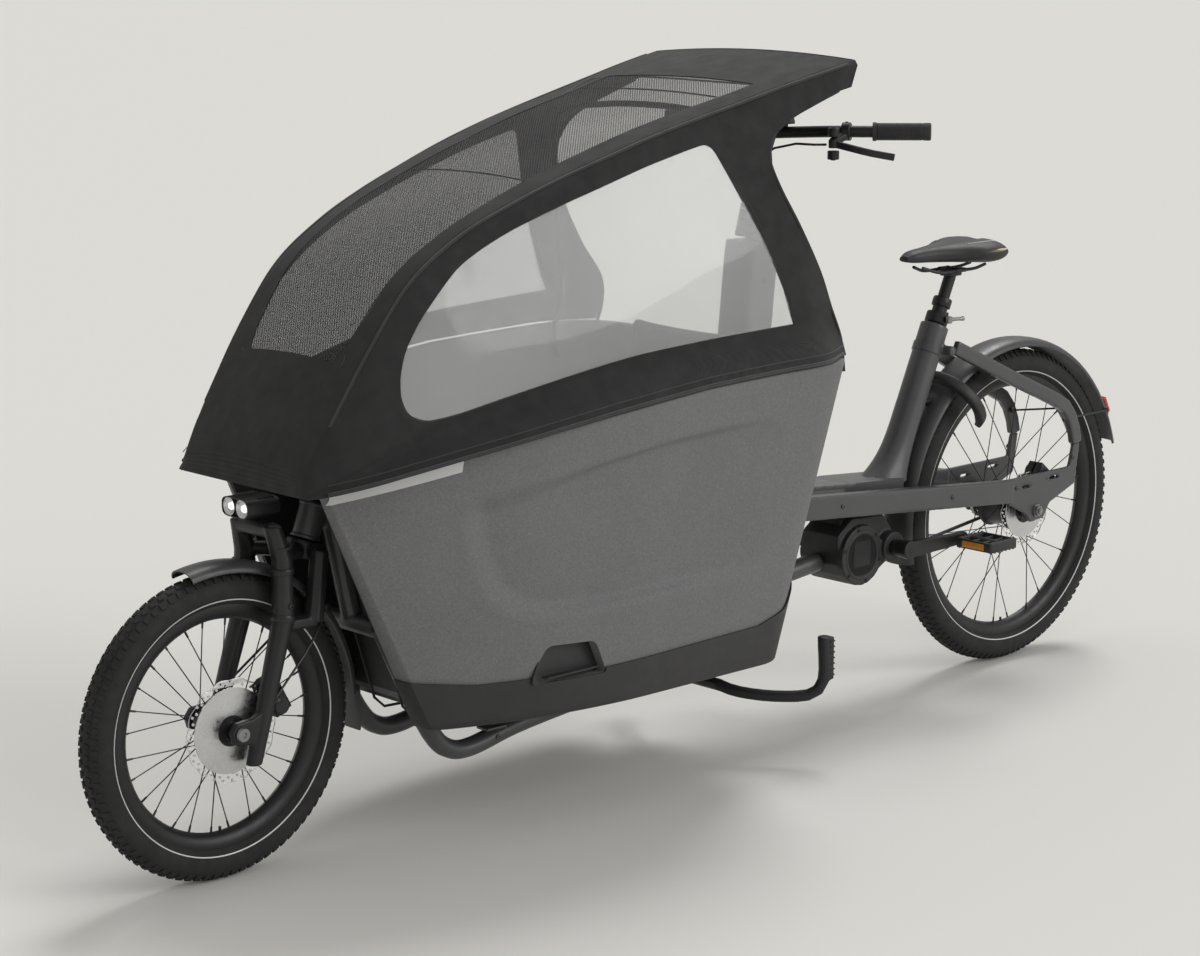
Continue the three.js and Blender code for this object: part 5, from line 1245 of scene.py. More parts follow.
def build_lamp():
    low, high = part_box("headlamp")
    middle = (low + high) / 2

    def ring(x, half_width, half_height):
        out = []
        for i in range(40):
            a = 2 * pi * i / 40
            out.append(Vector((x, half_width * abs(cos(a)) ** 0.45 * (1 if cos(a) > 0 else -1),
                               middle.z + half_height * abs(sin(a)) ** 0.6 * (1 if sin(a) > 0 else -1))))
        return out

    bm = bmesh.new()
    wide, tall = (high.y - low.y) / 2, (high.z - low.z) / 2
    front, back = high.x, low.x
    loft(bm, [ring(back + 0.001, wide * 0.7, tall * 0.7), ring(back + 0.004, wide * 0.86, tall * 0.86),
              ring(back + 0.014, wide * 0.97, tall * 0.97), ring(front - 0.01, wide, tall),
              ring(front - 0.001, wide, tall), ring(front - 0.0005, wide * 0.98, tall * 0.98),
              ring(front - 0.001, wide * 0.93, tall * 0.9), ring(front - 0.007, wide * 0.9, tall * 0.86)])
    for k in range(5):
        block(bm, (3, 60, 2.5), Vector((back + 0.016 + k * 0.007, 0, high.z - 0.0012)), 0.6)
    piece("headlamp_shell", bm, "black_metal", "fork_assembly", ["headlamp"])
    bm = bmesh.new()
    for side in (1, -1):
        lathe(bm, [(0, 0), (5, 0), (13.6, 4.4), (14.4, 5.4), (15.4, 5.4), (15.4, -1), (0, -1)],
              Vector((front - 0.0072, side * 0.0178, middle.z)), (1, 0, 0), steps=40)
    piece("headlamp_reflectors", bm, "steel", "fork_assembly")
    bm = bmesh.new()
    for side in (1, -1):
        lathe(bm, [(0, 4.2), (3, 3.8), (5.2, 2.4), (6, 0), (0, 0)],
              Vector((front - 0.0068, side * 0.0178, middle.z)), (1, 0, 0), steps=28)
    piece("headlamp_lenses", bm, "led", "fork_assembly")


# ---------------------------------------------------------------- cradle, bulkhead and column
COLUMN_X = 800
COLUMN_TOP = 979
STEM_CENTRE = (806, 0, 1182)


def column_at(z):
    """The column's centre line, which leans back by 6 degrees, at a height."""
    return at(COLUMN_X + (COLUMN_TOP - z) * tan(radians(6)), 0, z)


CRADLE_PATH = [(1808, 404), (1752, 290), (1700, 196), (1662, 160), (1610, 152), (1500, 172), (1340, 188),
               (1220, 190), (931, 190)]


def build_cradle():
    for side, word in ((1, "left"), (-1, "right")):
        bm = bmesh.new()
        tube(bm, [at(x, side * 100, z) for x, z in CRADLE_PATH], 17, 32, 10)
        for x in (1000, 1560):
            z = 190 if x < 1220 else 161
            block(bm, (46, 30, 5), at(x, side * 100, z + 17), 1.5)
            bolt(bm, at(x, side * 117, z + 2), (0, side, 0), 4.5, 2)
        piece(f"cradle_tube_{word}_bent", bm, "paint", nodes=[f"cradle_tube_{word}"])

    def plate_bolts(bm):
        for y in (-96, 96):
            for z in (210, 300, 390, 455):
                bolt(bm, at(929.5, y, z), (1, 0, 0), 5.5, 3)

    cast("bulkhead_casting", "bulkhead", "paint", voxel=2.6, rounds=7, extra=plate_bolts)

    bm = bmesh.new()
    rings = []
    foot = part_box("steering_column")[0].z / MM
    for k in range(21):
        z = lerp(foot + 4, COLUMN_TOP - 3.5, k / 20)
        ring = []
        for i in range(48):
            a = 2 * pi * i / 48
            c, s = cos(a), sin(a)
            half = 41.4 if 0 < k < 20 else 40.2
            ring.append(column_at(z) + Vector((half * abs(c) ** 0.38 * (1 if c > 0 else -1),
                                               half * abs(s) ** 0.38 * (1 if s > 0 else -1), 0)) * MM)
        rings.append(ring)
    loft(bm, rings)
    for side in (1, -1):
        for z in (560, 900):
            bolt(bm, column_at(z) + Vector((0, side * 0.0412, 0)), (0, side, 0), 5, 2.4)
    piece("steering_column_box", bm, "paint", nodes=["steering_column"])

    bm = bmesh.new()
    axis = (column_at(1000) - column_at(900)).normalized()
    rod(bm, column_at(642), column_at(988), 14.2, sides=32)
    z = COLUMN_TOP + 2.5
    for k in range(9):
        wide = 34 - k * 1.2
        lathe(bm, [(15, 0), (wide - 1.4, 0), (wide, 1.4), (wide, 8.6), (wide - 1.4, 10), (15, 10)],
              column_at(z), axis, steps=44)
        z += 10.6
    rod(bm, column_at(z), column_at(1150), 21, 18.6, 44)
    lathe(bm, [(18, 0), (23, 1), (23.6, 3), (23.6, 17), (22.6, 19), (18, 20)], column_at(1120), axis,
          steps=44)
    rod(bm, column_at(1148), at(*STEM_CENTRE), 17, 16, 36)
    lathe(bm, [(12.6, -22), (19, -22), (20, -20.5), (20, 20.5), (19, 22), (12.6, 22), (12.6, -22)],
          at(*STEM_CENTRE), steps=44)
    for y in (-14, 14):
        for dz in (-12, 12):
            bolt(bm, at(STEM_CENTRE[0] + 18, y, STEM_CENTRE[2] + dz), (1, 0, 0), 3.4, 2.6)
    bolt(bm, column_at(1130) + Vector((0.0232, 0, 0)), (1, 0, 0), 3.6, 3)
    piece("stem_and_spacers", bm, "black_metal", "handlebars", ["stem"])


# ---------------------------------------------------------------- handlebar
BAR_PATH = [(806, 0, 1182), (806, 60, 1184), (803, 120, 1188), (788, 190, 1192), (757, 244, 1193),
            (681, 340, 1194)]


def build_cockpit():
    left = [at(x, y, z) for x, y, z in BAR_PATH]
    right = [at(x, -y, z) for x, y, z in BAR_PATH]
    bm = bmesh.new()
    tube(bm, list(reversed(right)) + left[1:], 11, 24, 10)
    way = (left[4] - left[3]).normalized()
    clamp = left[3].lerp(left[4], 0.45)
    for side in (1, -1):
        flip = Vector((1, side, 1))
        centre, axis = clamp * flip, (way * flip)
        lathe(bm, [(11.2, -8), (16, -8), (17, -7), (17, 7), (16, 8), (11.2, 8), (11.2, -8)], centre, axis,
              steps=36)
        tube(bm, [centre + Vector((0.006, side * 0.004, -0.006)), at(806, side * 212, 1176),
                  at(811, side * 216, 1172)], 9, 20)
        for dz in (-21, 21):
            lathe(bm, [(4, -8), (10.4, -8), (11, -6), (11, 6), (10.4, 8), (4, 8), (4, -8)],
                  at(812, side * 216, 1172 + dz), (0, 0, 1), steps=32)
            bolt(bm, at(812, side * 216, 1172 + (dz + 8 if dz > 0 else dz - 8)), (0, 0, 1 if dz > 0 else -1),
                 5, 1.8)
        bolt(bm, centre + Vector((0, 0, 0.0165)), (0, 0, 1), 3, 2)
    piece("handlebar_tube", bm, "black_metal", "handlebars", ["handlebar"])

    for side, word in ((1, "left"), (-1, "right")):
        ends = [Vector(p) * Vector((1, side, 1)) for p in (left[4].lerp(left[5], 0.12), left[5])]
        axis = (ends[1] - ends[0]).normalized()
        length = (ends[1] - ends[0]).length / MM
        profile = [(11.6, 0), (18, 0), (18.6, 1.5), (18.6, 5.5), (17.6, 7), (15, 8)]
        for k in range(22):
            s = 10 + k * (length - 26) / 22
            profile += [(16.4, s), (16.4, s + 1.8), (15.4, s + 2.4), (15.4, s + 3.6)]
        profile += [(16, length - 14), (17.2, length - 10), (17.2, length - 2), (14.5, length),
                    (0, length + 0.4)]
        bm = bmesh.new()
        lathe(bm, [(min(r, 16.4 + (0.9 if s < 8 else 0)), s) for r, s in profile], ends[0], axis, steps=40)
        piece(f"{word}_grip_sleeve", bm, "grip_rubber", "handlebars", [f"grip_{word}"])

        def lever_details(bm):
            bolt(bm, at(812, side * 216, 1180), (0, 0, 1), 5, 1.6)

        cast(f"{word}_lever_blade", f"brake_lever_{word}", "black_metal", f"{word}_lever", voxel=1.0,
             rounds=6, extra=lever_details)

    bm = bmesh.new()
    centre = at(800, 84, 1202)
    lathe(bm, [(0, 17), (6, 16.4), (12, 14), (16, 9.5), (17.4, 4), (17.4, 0), (16.4, 0), (16, 3), (0, 3)],
          centre, (0, 0, 1), steps=44)
    block(bm, (9, 12, 10), at(803, 84, 1198), 2)
    rod(bm, centre, centre + Vector((0.02, 0.004, 0.003)), 1.8, 1.4, 10)
    piece("bell", bm, "black_metal", "handlebars")
    for name, node, body in (("brake_hose_pair", "brake_hoses", "handlebars"),
                             ("steering_cable_loop", "steering_cable", "frame")):
        bm = bmesh.new()
        bm.from_mesh(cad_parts[node].data)
        bmesh.ops.remove_doubles(bm, verts=bm.verts, dist=1e-5)
        piece(name, bm, "rubber", body, [node], sharp=60)


# ---------------------------------------------------------------- box
def build_box(settings):
    recess = eased_corners(RECESS_OUTLINE, 60)
    depth = settings.recess_depth

    def dent(x, z):
        """The panel's slope is narrow above and broad ahead, and its depth fades out to the rear."""
        reach = lerp(lerp(26, 13, smoothstep(500, 600, z)), 48, smoothstep(1480, 1690, x))
        return depth * smoothstep(1045, 1330, x) * smoothstep(-2, reach, inside_distance(recess, x, z))

    def notch(grow):
        """The recess for the steering head, grown by a distance."""
        top, foot = NOTCH_TOP[0] - grow, NOTCH_FOOT[0] - grow
        half = NOTCH_HALF_WIDTH + grow
        return outline_block([(top, NOTCH_TOP[1]), (foot, NOTCH_FOOT[1]), (foot, 100), (2100, 100),
                              (2100, NOTCH_TOP[1])],
                             -half, half)

    # The wall is one skin folded over the rim: outside up, over, and down inside to the floor.
    count = len(box_plan(300)) - 1

    def place(u, v):
        side, share = (1, u * 2) if u <= 0.5 else (-1, 2 - u * 2)
        spot = min(max(share, 0.0), 1.0) * count
        low = min(int(spot), count - 1)

        def plan_at(z, inset):
            plan = box_plan(z, inset)
            return [lerp(a, b, spot - low) for a, b in zip(plan[low], plan[low + 1])], plan[low], plan[low
                                                                                                       + 1]

        rim = rim_at(plan_at(780, 0)[0][0])
        outer_rows = 0.72
        if v <= outer_rows:
            s = v / outer_rows
            (x, _), _, _ = plan_at(lerp(TUB_FOOT, rim - RIM_ROUND, s), 0)
            z = lerp(TUB_FOOT, rim_at(x) - RIM_ROUND, s)
            (x, y), a, b = plan_at(z, 0)
            if y > 60:
                normal = Vector((b[1] - a[1], a[0] - b[0], 0)).normalized()
                inward = dent(x, z)
                x, y = x + normal.x * inward, y + normal.y * inward
                if s == 0:
                    x, y = x + normal.x * 2, y + normal.y * 2
            return at(x, side * y, z)
        s = (v - outer_rows) / (1 - outer_rows)
        if s < 0.25:
            a = pi * s / 0.25
            inset = BOX_WALL / 2 * (1 - cos(a))
            (x, y), _, _ = plan_at(rim - RIM_ROUND, inset)
            z = rim_at(plan_at(rim - RIM_ROUND, 0)[0][0]) - RIM_ROUND + 4.6 * sin(a) ** 0.7
            return at(x, side * y, z)
        s = (s - 0.25) / 0.75
        z = lerp(rim - RIM_ROUND, TUB_FOOT + BOX_WALL, s)
        (x, y), _, _ = plan_at(z, BOX_WALL)
        return at(x, side * y, z)

    bm = skin(count * 7, 150, place)
    bmesh.ops.remove_doubles(bm, verts=bm.verts, dist=2e-5)
    bmesh.ops.holes_fill(bm, edges=[e for e in bm.edges if e.is_boundary], sides=0)
    bmesh.ops.triangulate(bm, faces=[f for f in bm.faces if len(f.verts) > 4])
    bmesh.ops.recalc_face_normals(bm, faces=bm.faces)
    pocket = eased_corners(HANDLE_NOTCH, 14)

    def pockets():
        return [outline_block(pocket, side * CUT, side * POCKET_BACK) for side in (1, -1)]

    shell = carve(bm, notch(0))
    shell = carve(shell, *pockets()) if settings.handle_pockets else shell
    # A wall stands behind the recess for the steering head, as thick as the others.
    lining = carve(notch(BOX_WALL - 0.5), notch(0.1))
    lining = carve(lining, solid_box(244, 752, 1), operation="INTERSECT")
    above = outline_block([(x, z - 0.8) for x, z in RIM_LINE] + [(2200, 1200), (700, 1200)], -CUT, CUT)
    lining = carve(lining, above)
    merge(shell, lining)
    piece("foam_box", shell, "foam", nodes=["box_tub"], sharp=40)

    # Moulded tray round the foot of the box.
    rings = [(BOX_FLOOR, 3.5), (226.5, 1.2)] + [(z, 0) for z in (229, 240, 260, 290, 320, 350, 380, 410, 428)]
    tray = bmesh.new()
    loft(tray, [closed_plan(z, rounding - BASE_PROUD) for z, rounding in rings])
    tray = carve(tray, outline_block(BASE_LINE + [(700, 1300), (2200, 1300)], -CUT, CUT), notch(0))
    tray = carve(tray, solid_box(TUB_FOOT, 470, -0.6))
    tray = carve(tray, *pockets())
    for side in (1, -1):
        block(tray, (618, 25, 15), at(1270, side * 100, 217.5), 3)
    piece("box_tray", tray, "tray_plastic", nodes=["box_base"])
    # Black plastic plates at the back of the handle pockets, with a ledge under each. The plates are partly
    # the pockets' own black plastic and partly painted shade for the pockets' depth.
    backs_and_painted_shade = bmesh.new()
    for side in (1, -1):
        merge(backs_and_painted_shade, outline_block(grown(pocket, 3), side * (POCKET_BACK - 3), side * (POCKET_BACK + 0.4)))
        block(backs_and_painted_shade, (118, 16, 3), at(1521, side * 262, 303), 1.2)
    piece("pocket_backs_and_painted_shade", backs_and_painted_shade, "plastic")

    guard = carve(notch(-1), notch(-5))
    guard = carve(guard, solid_box(246, 639, 1.2), operation="INTERSECT")
    slope = [(z, x) for x, z in (NOTCH_FOOT, NOTCH_TOP)]
    for z, y in ((610, 108), (610, -108), (430, 108), (430, -108), (290, 100), (290, -100)):
        bolt(guard, at(along(slope, z)[0] + 5, y, z), (1, 0, -0.2), 4, 2)
    piece("head_guard", guard, "plastic", nodes=["front_guard"])

    trim = bmesh.new()
    for side in (1, -1):
        def strip(u, v):
            x = lerp(1762, 1946, u)
            z = rim_at(x) - 3.5 - 14 * u - lerp(25, 21, u) * v
            plan = box_plan(z)
            y = next(lerp(a[1], b[1], (x - a[0]) / (b[0] - a[0])) for a, b in zip(plan[28:], plan[29:])
                     if b[0] >= x > a[0])
            return at(x, side * (y + 1.9), z)
        merge(trim, thicken(skin(40, 4, strip), 1.0, 0))
    piece("box_trim_strips", trim, "trim")

    case = bmesh.new()
    low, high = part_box("battery_case")
    size = [(h - l) / MM for l, h in zip(low, high)]
    block(case, size, (low + high) / 2, 8, segments=4)
    for k in range(-4, 5):
        block(case, (2, size[1] * 0.8, 3), Vector((high.x, 0, (low.z + high.z) / 2 + k * 0.018)), 0.8)
    piece("battery_box", case, "tray_plastic", nodes=["battery_case"])


def closed_plan(z, inset):
    half = box_plan(z, inset)
    return [at(x, y, z) for x, y in half] + [at(x, -y, z) for x, y in reversed(half[1:-1])]


def solid_box(z0, z1, inset):
    bm = bmesh.new()
    loft(bm, [closed_plan(lerp(z0, z1, k / 4), inset) for k in range(5)])
    return bm


# ---------------------------------------------------------------- bench
def build_bench():
    stuffed("bench_cushion", at(1150, 0, 495.4), (310, 400, 50), "pad_cloth", 4,
            [("y", -95), ("y", 0), ("y", 95)], "bench_seat")
    low, high = Vector(at(964, 0, 526)), Vector(at(921, 0, 826))
    lean = atan2(high.z - low.z, high.x - low.x)
    turn = Matrix.Rotation(-lean, 4, "Y")
    stuffed("bench_back_cushion", (low + high) / 2, ((high - low).length / MM, 420, 36), "pad_cloth", 3,
            [("x", -75), ("x", 0), ("x", 75)], "bench_backrest", turn=turn @ Matrix.Rotation(pi, 4, "X"))
    bm = bmesh.new()
    for side in (1, -1):
        tube_points = [(986, 812), (985, 740), (999, 640), (1014, 560), (1040, 532)]
        path = smooth_path([at(x - 8, side * 70, z) for x, z in tube_points], 6)
        for a, b in zip(path, path[1:]):
            mid, way = (a + b) / 2, (b - a)
            turn = Matrix.Rotation(-atan2(way.z, way.x), 4, "Y")
            block(bm, (way.length / MM + 0.8, 30, 1.8), mid, 0, turn)
        block(bm, (12, 40, 26), at(1000, side * 70, 640), 3, Matrix.Rotation(0.2, 4, "Y"))
    piece("bench_belts", bm, "webbing")


# ---------------------------------------------------------------- canopy
def cut_rear():
    return outline_block([(790, 1400)] + REAR_EDGE + [(700, 770), (700, 1400)], -CUT, CUT)


def window_outline(by):
    """The side window with every corner rounded except the lower rear one."""
    outline = grown(SIDE_WINDOW, by)
    return outline[:1] + eased_corners(outline, 60)[7:]


def window_block(by, side):
    return outline_block(window_outline(by), side * 100, side * CUT)


def roof_outline(by):
    half = [(x, y + by) for x, y in TOP_WINDOW]
    half[0] = (half[0][0] - by, half[0][1])
    half[-1] = (half[-1][0] + by, half[-1][1])
    return half + [(x, -y) for x, y in reversed(half)]


def roof_block(by):
    return plan_block(roof_outline(by), 840, 1400)


def build_canopy(settings):
    def cloth_point(u, v):
        p = canopy_point(u, v)
        sag = settings.canopy_wrinkle * noise.noise(Vector((p.x * 5, p.y * 5, p.z * 7))) * MM
        if 0.02 < u < 0.97 and 0.03 < v < 0.97:
            p += Vector((0, (1 if p.y > 0 else -1) * sag if abs(p.y) > 0.15 else 0, sag * 0.6))
        return p

    cloth = thicken(skin(180, 130, cloth_point), 2.2)
    cloth = carve(cloth, cut_rear())
    cloth = carve(cloth, window_block(0, 1), window_block(0, -1))
    cloth = carve(cloth, roof_block(0))
    canopy = piece("canopy_cloth_cover", cloth, "cloth", nodes=["canopy"], sharp=55)

    def window(name, tool, look, node, thickness):
        sheet = thicken(skin(160, 120, canopy_point), thickness)
        piece(name, carve(sheet, tool, operation="INTERSECT"), look, nodes=[node], sharp=60)

    window("canopy_roof_mesh", roof_block(2), "mesh_cloth", "canopy_window_top", 1.2)
    for side, word in ((1, "left"), (-1, "right")):
        window(f"canopy_{word}_pane", window_block(2, side), "clear_sheet", f"canopy_window_{word}", 1.0)

    def on_roof(x, y):
        seam_y, seam_z, _ = eased(CANOPY_STATIONS, x)
        return at(x, y, seam_z + ROOF_CROWN * (1 - (y / seam_y) ** 2))

    # Bound edges and sewn seams.
    bm = bmesh.new()
    for side in (1, -1):
        pane = window_outline(3)
        tube(bm, [on_canopy(x, z, side) for x, z in pane + pane[:1]], 2.0, 10, 5)
        pane = window_outline(11)
        tube(bm, [on_canopy(x, z, side) + Vector((0, side * 0.0002, 0)) for x, z in pane + pane[:1]], 0.9, 8,
             5)
        seam = [at(x, side * (eased(CANOPY_STATIONS, x)[0] + 0.4), eased(CANOPY_STATIONS, x)[1] + 0.4)
                for x in range(830, 1990, 29)]
        tube(bm, seam, 3.0, 10, 3)
        tube(bm, [on_canopy(x, eased(CANOPY_STATIONS, x)[1] - 16, side) for x in range(900, 1900, 25)], 0.9,
             8, 3)
        edge = [on_canopy(x + 1.5, z, side) for x, z in REAR_EDGE[2:]]
        tube(bm, edge, 3.4, 10, 5)
        hem = [at(x, side * (eased(CANOPY_STATIONS, x)[2] + 0.3), rim_at(x) + 5)
               for x in range(910, 2010, 20)]
        tube(bm, hem, 3.2, 10, 2)
        tube(bm, [p + Vector((0, 0, 0.015)) for p in hem], 0.8, 8, 2)
    tube(bm, [on_roof(x, y) for x, y in roof_outline(3) + roof_outline(3)[:1]], 1.8, 10, 4)
    for x in (1083, 1520):
        tube(bm, [on_roof(x, y) for y in range(-184 if x < 1200 else -156, 185 if x < 1200 else 157, 12)],
             1.6, 8, 2)
    visor = [on_roof(808, y) for y in range(-255, 256, 15)]
    tube(bm, visor, 3.4, 10, 2)
    piece("canopy_piping", bm, "webbing")

    bm = bmesh.new()
    block(bm, (22, 36, 9), at(1040, 120, 1236), 3, segments=3)
    block(bm, (34, 22, 1.6), at(1046, 120, 1244), 0)
    piece("canopy_buckle", bm, "plastic")

    bm = bmesh.new()
    hoop = [(1002, 336, 730), (1002, 346, 790), (1006, 324, 835), (1020, 305, 900), (1050, 284, 1040),
            (1085, 250, 1180), (1085, 222, 1226), (1085, 110, 1242), (1085, 0, 1246)]
    path = [at(*p) for p in hoop] + [at(x, -y, z) for x, y, z in reversed(hoop[:-1])]
    tube(bm, path, 5.8, 20, 8)
    piece("hoop_rod", bm, "black_metal", nodes=["canopy_hoop"])


# ---------------------------------------------------------------- stand
def build_stand():
    def stand_details(bm):
        for side in (1, -1):
            for k in range(7):
                block(bm, (13.5, 26, 3.2), at(844, side * 252, 170 + k * 11), 1)
            bolt(bm, at(974, side * 86, 140), (0, side, 0), 8, 3)

    cast("stand_casting", "centre_stand", "black_metal", "stand", voxel=1.9, rounds=7, extra=stand_details)


# ---------------------------------------------------------------- stage
def build_stage():
    bm = bmesh.new()
    bmesh.ops.create_grid(bm, x_segments=1, y_segments=1, size=90)
    mesh = bpy.data.meshes.new("floor")
    bm.to_mesh(mesh)
    bm.free()
    floor = bpy.data.objects.new("floor", mesh)
    bpy.context.scene.collection.objects.link(floor)
    plain = bpy.data.materials.new("floor")
    plain.use_nodes = True
    shader = plain.node_tree.nodes["Principled BSDF"]
    shader.inputs["Base Color"].default_value = (0.72, 0.715, 0.69, 1)
    shader.inputs["Roughness"].default_value = 0.9
    shader.inputs["Specular IOR Level"].default_value = 0.1
    mesh.materials.append(plain)

    world = bpy.data.worlds.new("studio")
    bpy.context.scene.world = world
    world.use_nodes = True
    back = world.node_tree.nodes["Background"]
    back.inputs["Color"].default_value = (0.735, 0.728, 0.7, 1)
    links, nodes = world.node_tree.links, world.node_tree.nodes
    strength = nodes.new("ShaderNodeMapRange")
    strength.inputs["To Min"].default_value = 0.66
    links.new(nodes.new("ShaderNodeLightPath").outputs["Is Camera Ray"], strength.inputs["Value"])
    links.new(strength.outputs["Result"], back.inputs["Strength"])

    # Broad suns light the floor evenly at every distance.
    target = at(1202.55, 0, 562.74)
    for name, place, spread, power in (("key", (-2.6, -1.4, 5.2), 24, 1.35),
                                       ("fill", (-2.0, 4.2, 2.8), 36, 1.1)):
        lamp = bpy.data.lights.new(name, "SUN")
        lamp.angle = radians(spread)
        lamp.energy = power
        obj = bpy.data.objects.new(name, lamp)
        obj.location = place
        obj.rotation_euler = (target - Vector(place)).to_track_quat("-Z", "Y").to_euler()
        bpy.context.scene.collection.objects.link(obj)

    camera = bpy.data.cameras.new("camera")
    camera.sensor_width = 36
    camera.lens = 81.7578
    camera.clip_end = 100
    obj = bpy.data.objects.new("camera", camera)
    obj.location = at(4602.21, 3611.19, 1556.24)
    obj.rotation_euler = (target - obj.location).to_track_quat("-Z", "Y").to_euler()
    bpy.context.scene.collection.objects.link(obj)
    bpy.context.scene.camera = obj
    bpy.context.scene.view_settings.view_transform = "Standard"


# ---------------------------------------------------------------- add-on
class BicycleColours(bpy.types.PropertyGroup):
    paint_color: bpy.props.FloatVectorProperty(name="Frame paint", description="Colour of the painted frame",
                                               subtype="COLOR", size=3, min=0, max=1,
                                               default=(0.06, 0.061, 0.064))
    foam_color: bpy.props.FloatVectorProperty(name="Box foam", description="Colour of the foam box",
                                              subtype="COLOR", size=3, min=0, max=1,
                                              default=(0.155, 0.156, 0.16))
    canopy_color: bpy.props.FloatVectorProperty(name="Canopy cloth",
                                                description="Colour of the canopy's cloth",
                                                subtype="COLOR", size=3, min=0, max=1,
                                                default=(0.019, 0.019, 0.02))


class BicycleSizes(bpy.types.PropertyGroup):
    front_spokes: bpy.props.IntProperty(name="Front spokes", description="Spokes in the front wheel",
                                        default=28, min=12, max=36)
    rear_spokes: bpy.props.IntProperty(name="Rear spokes", description="Spokes in the rear wheel", default=28,
                                       min=12, max=36)
    recess_depth: bpy.props.FloatProperty(name="Panel depth",
                                          description="Depth of the panel in the box's side, in mm",
                                          default=17, min=0, max=17)
    canopy_wrinkle: bpy.props.FloatProperty(name="Wrinkle",
                                            description="Depth of the canopy's soft folds, in mm",
                                            default=2.2, min=0, max=5)
    canopy_area: bpy.props.FloatProperty(name="Canopy area",
                                         description="Flat area of the canopy's cloth, in square metres",
                                         default=0.75, min=0.3, max=4)
    handle_pockets: bpy.props.BoolProperty(name="Handle pockets",
                                           description="Cut the lifting pockets in the box's foot",
                                           default=True)


class PieceOperator:
    bl_options = {"REGISTER"}

    def execute(self, context):
        self.build(context.scene)
        return {"FINISHED"}


class BICYCLE_OT_finishes(PieceOperator, bpy.types.Operator):
    """Make the finishes that every piece shares"""
    bl_idname = "bicycle.finishes"
    bl_label = "Finishes"

    def build(self, scene):
        make_looks(scene.bicycle_colours)


class BICYCLE_OT_wheels(PieceOperator, bpy.types.Operator):
    """Make both wheels with their tyres, spokes and brake discs"""
    bl_idname = "bicycle.wheels"
    bl_label = "Wheels"

    def build(self, scene):
        sizes = scene.bicycle_sizes
        wheel("front", WHEELBASE, FRONT_RADIUS, 29, sizes.front_spokes, 17, 27, (-47.5, 47.5), 15,
              "front_wheel")
        wheel("rear", 0, REAR_RADIUS, 30, sizes.rear_spokes, 45, 30, (-52.8, 61.5), 20, "rear_wheel")
        brake_disc("front", WHEELBASE, FRONT_RADIUS, 40, 90, 15.4, "front_wheel")
        brake_disc("rear", 0, REAR_RADIUS, 56, 80, 20.4, "rear_wheel")


class BICYCLE_OT_rear_frame(PieceOperator, bpy.types.Operator):
    """Make the rear frame, its mudguard, tail lamp, calliper and ring lock"""
    bl_idname = "bicycle.rear_frame"
    bl_label = "Rear frame"

    def build(self, scene):
        build_rear_frame()


class BICYCLE_OT_seat(PieceOperator, bpy.types.Operator):
    """Make the seatpost, saddle and clamp"""
    bl_idname = "bicycle.seat"
    bl_label = "Seat"

    def build(self, scene):
        build_seat()


class BICYCLE_OT_drive(PieceOperator, bpy.types.Operator):
    """Make the motor, cranks, pedals and belt"""
    bl_idname = "bicycle.drive"
    bl_label = "Drive"

    def build(self, scene):
        build_drive()


class BICYCLE_OT_head(PieceOperator, bpy.types.Operator):
    """Make the steering head, fork, front mudguard, calliper and headlamp"""
    bl_idname = "bicycle.head"
    bl_label = "Head and fork"

    def build(self, scene):
        build_head()


class BICYCLE_OT_cradle(PieceOperator, bpy.types.Operator):
    """Make the cradle tubes, bulkhead, steering column and stem"""
    bl_idname = "bicycle.cradle"
    bl_label = "Cradle and column"

    def build(self, scene):
        build_cradle()


class BICYCLE_OT_cockpit(PieceOperator, bpy.types.Operator):
    """Make the handlebar, grips, levers, bell and hoses"""
    bl_idname = "bicycle.cockpit"
    bl_label = "Handlebar"

    def build(self, scene):
        build_cockpit()


class BICYCLE_OT_box(PieceOperator, bpy.types.Operator):
    """Make the foam box, its tray, guard and trim"""
    bl_idname = "bicycle.box"
    bl_label = "Box"

    def build(self, scene):
        build_box(scene.bicycle_sizes)


class BICYCLE_OT_bench(PieceOperator, bpy.types.Operator):
    """Make the bench cushions and belts"""
    bl_idname = "bicycle.bench"
    bl_label = "Bench"

    def build(self, scene):
        build_bench()


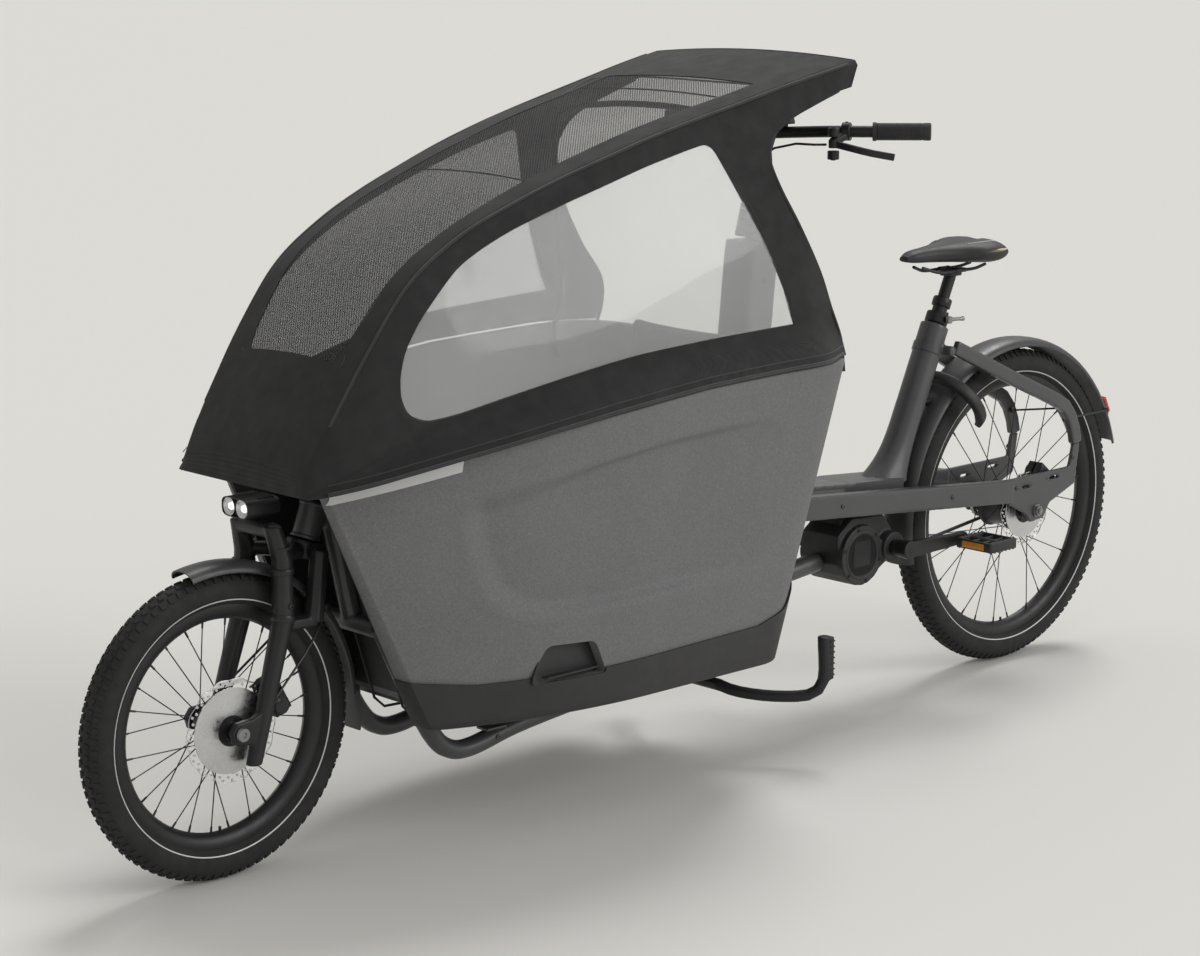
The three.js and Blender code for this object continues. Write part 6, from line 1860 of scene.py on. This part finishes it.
class BICYCLE_OT_canopy(PieceOperator, bpy.types.Operator):
    """Make the canopy's cloth, mesh, windows, seams and hoop"""
    bl_idname = "bicycle.canopy"
    bl_label = "Canopy"

    def build(self, scene):
        build_canopy(scene.bicycle_sizes)


class BICYCLE_OT_stand(PieceOperator, bpy.types.Operator):
    """Make the centre stand"""
    bl_idname = "bicycle.stand"
    bl_label = "Stand"

    def build(self, scene):
        build_stand()


class BICYCLE_OT_stage(PieceOperator, bpy.types.Operator):
    """Make the floor, lights and camera"""
    bl_idname = "bicycle.stage"
    bl_label = "Stage"

    def build(self, scene):
        build_stage()


OPERATORS = (BICYCLE_OT_stage, BICYCLE_OT_finishes, BICYCLE_OT_wheels, BICYCLE_OT_rear_frame, BICYCLE_OT_seat,
             BICYCLE_OT_drive, BICYCLE_OT_head, BICYCLE_OT_cradle, BICYCLE_OT_cockpit, BICYCLE_OT_box,
             BICYCLE_OT_bench, BICYCLE_OT_canopy, BICYCLE_OT_stand)


class BICYCLE_PT_panel(bpy.types.Panel):
    """Lists the bicycle's pieces"""
    bl_idname = "BICYCLE_PT_panel"
    bl_label = "Cargo bicycle"
    bl_space_type = "VIEW_3D"
    bl_region_type = "UI"
    bl_category = "Cargo bicycle"

    def draw(self, context):
        for group in (context.scene.bicycle_colours, context.scene.bicycle_sizes):
            for name in group.bl_rna.properties.keys():
                if name not in ("rna_type", "name"):
                    self.layout.prop(group, name)
        for operator in OPERATORS:
            self.layout.operator(operator.bl_idname)


CLASSES = (BicycleColours, BicycleSizes, *OPERATORS, BICYCLE_PT_panel)


def register():
    for cls in CLASSES:
        bpy.utils.register_class(cls)
    bpy.types.Scene.bicycle_colours = bpy.props.PointerProperty(type=BicycleColours)
    bpy.types.Scene.bicycle_sizes = bpy.props.PointerProperty(type=BicycleSizes)


def unregister():
    del bpy.types.Scene.bicycle_sizes
    del bpy.types.Scene.bicycle_colours
    for cls in reversed(CLASSES):
        bpy.utils.unregister_class(cls)


def main():
    register()
    for operator in OPERATORS:
        getattr(bpy.ops.bicycle, operator.bl_idname.split(".")[1])()


if __name__ == "__main__":
    main()
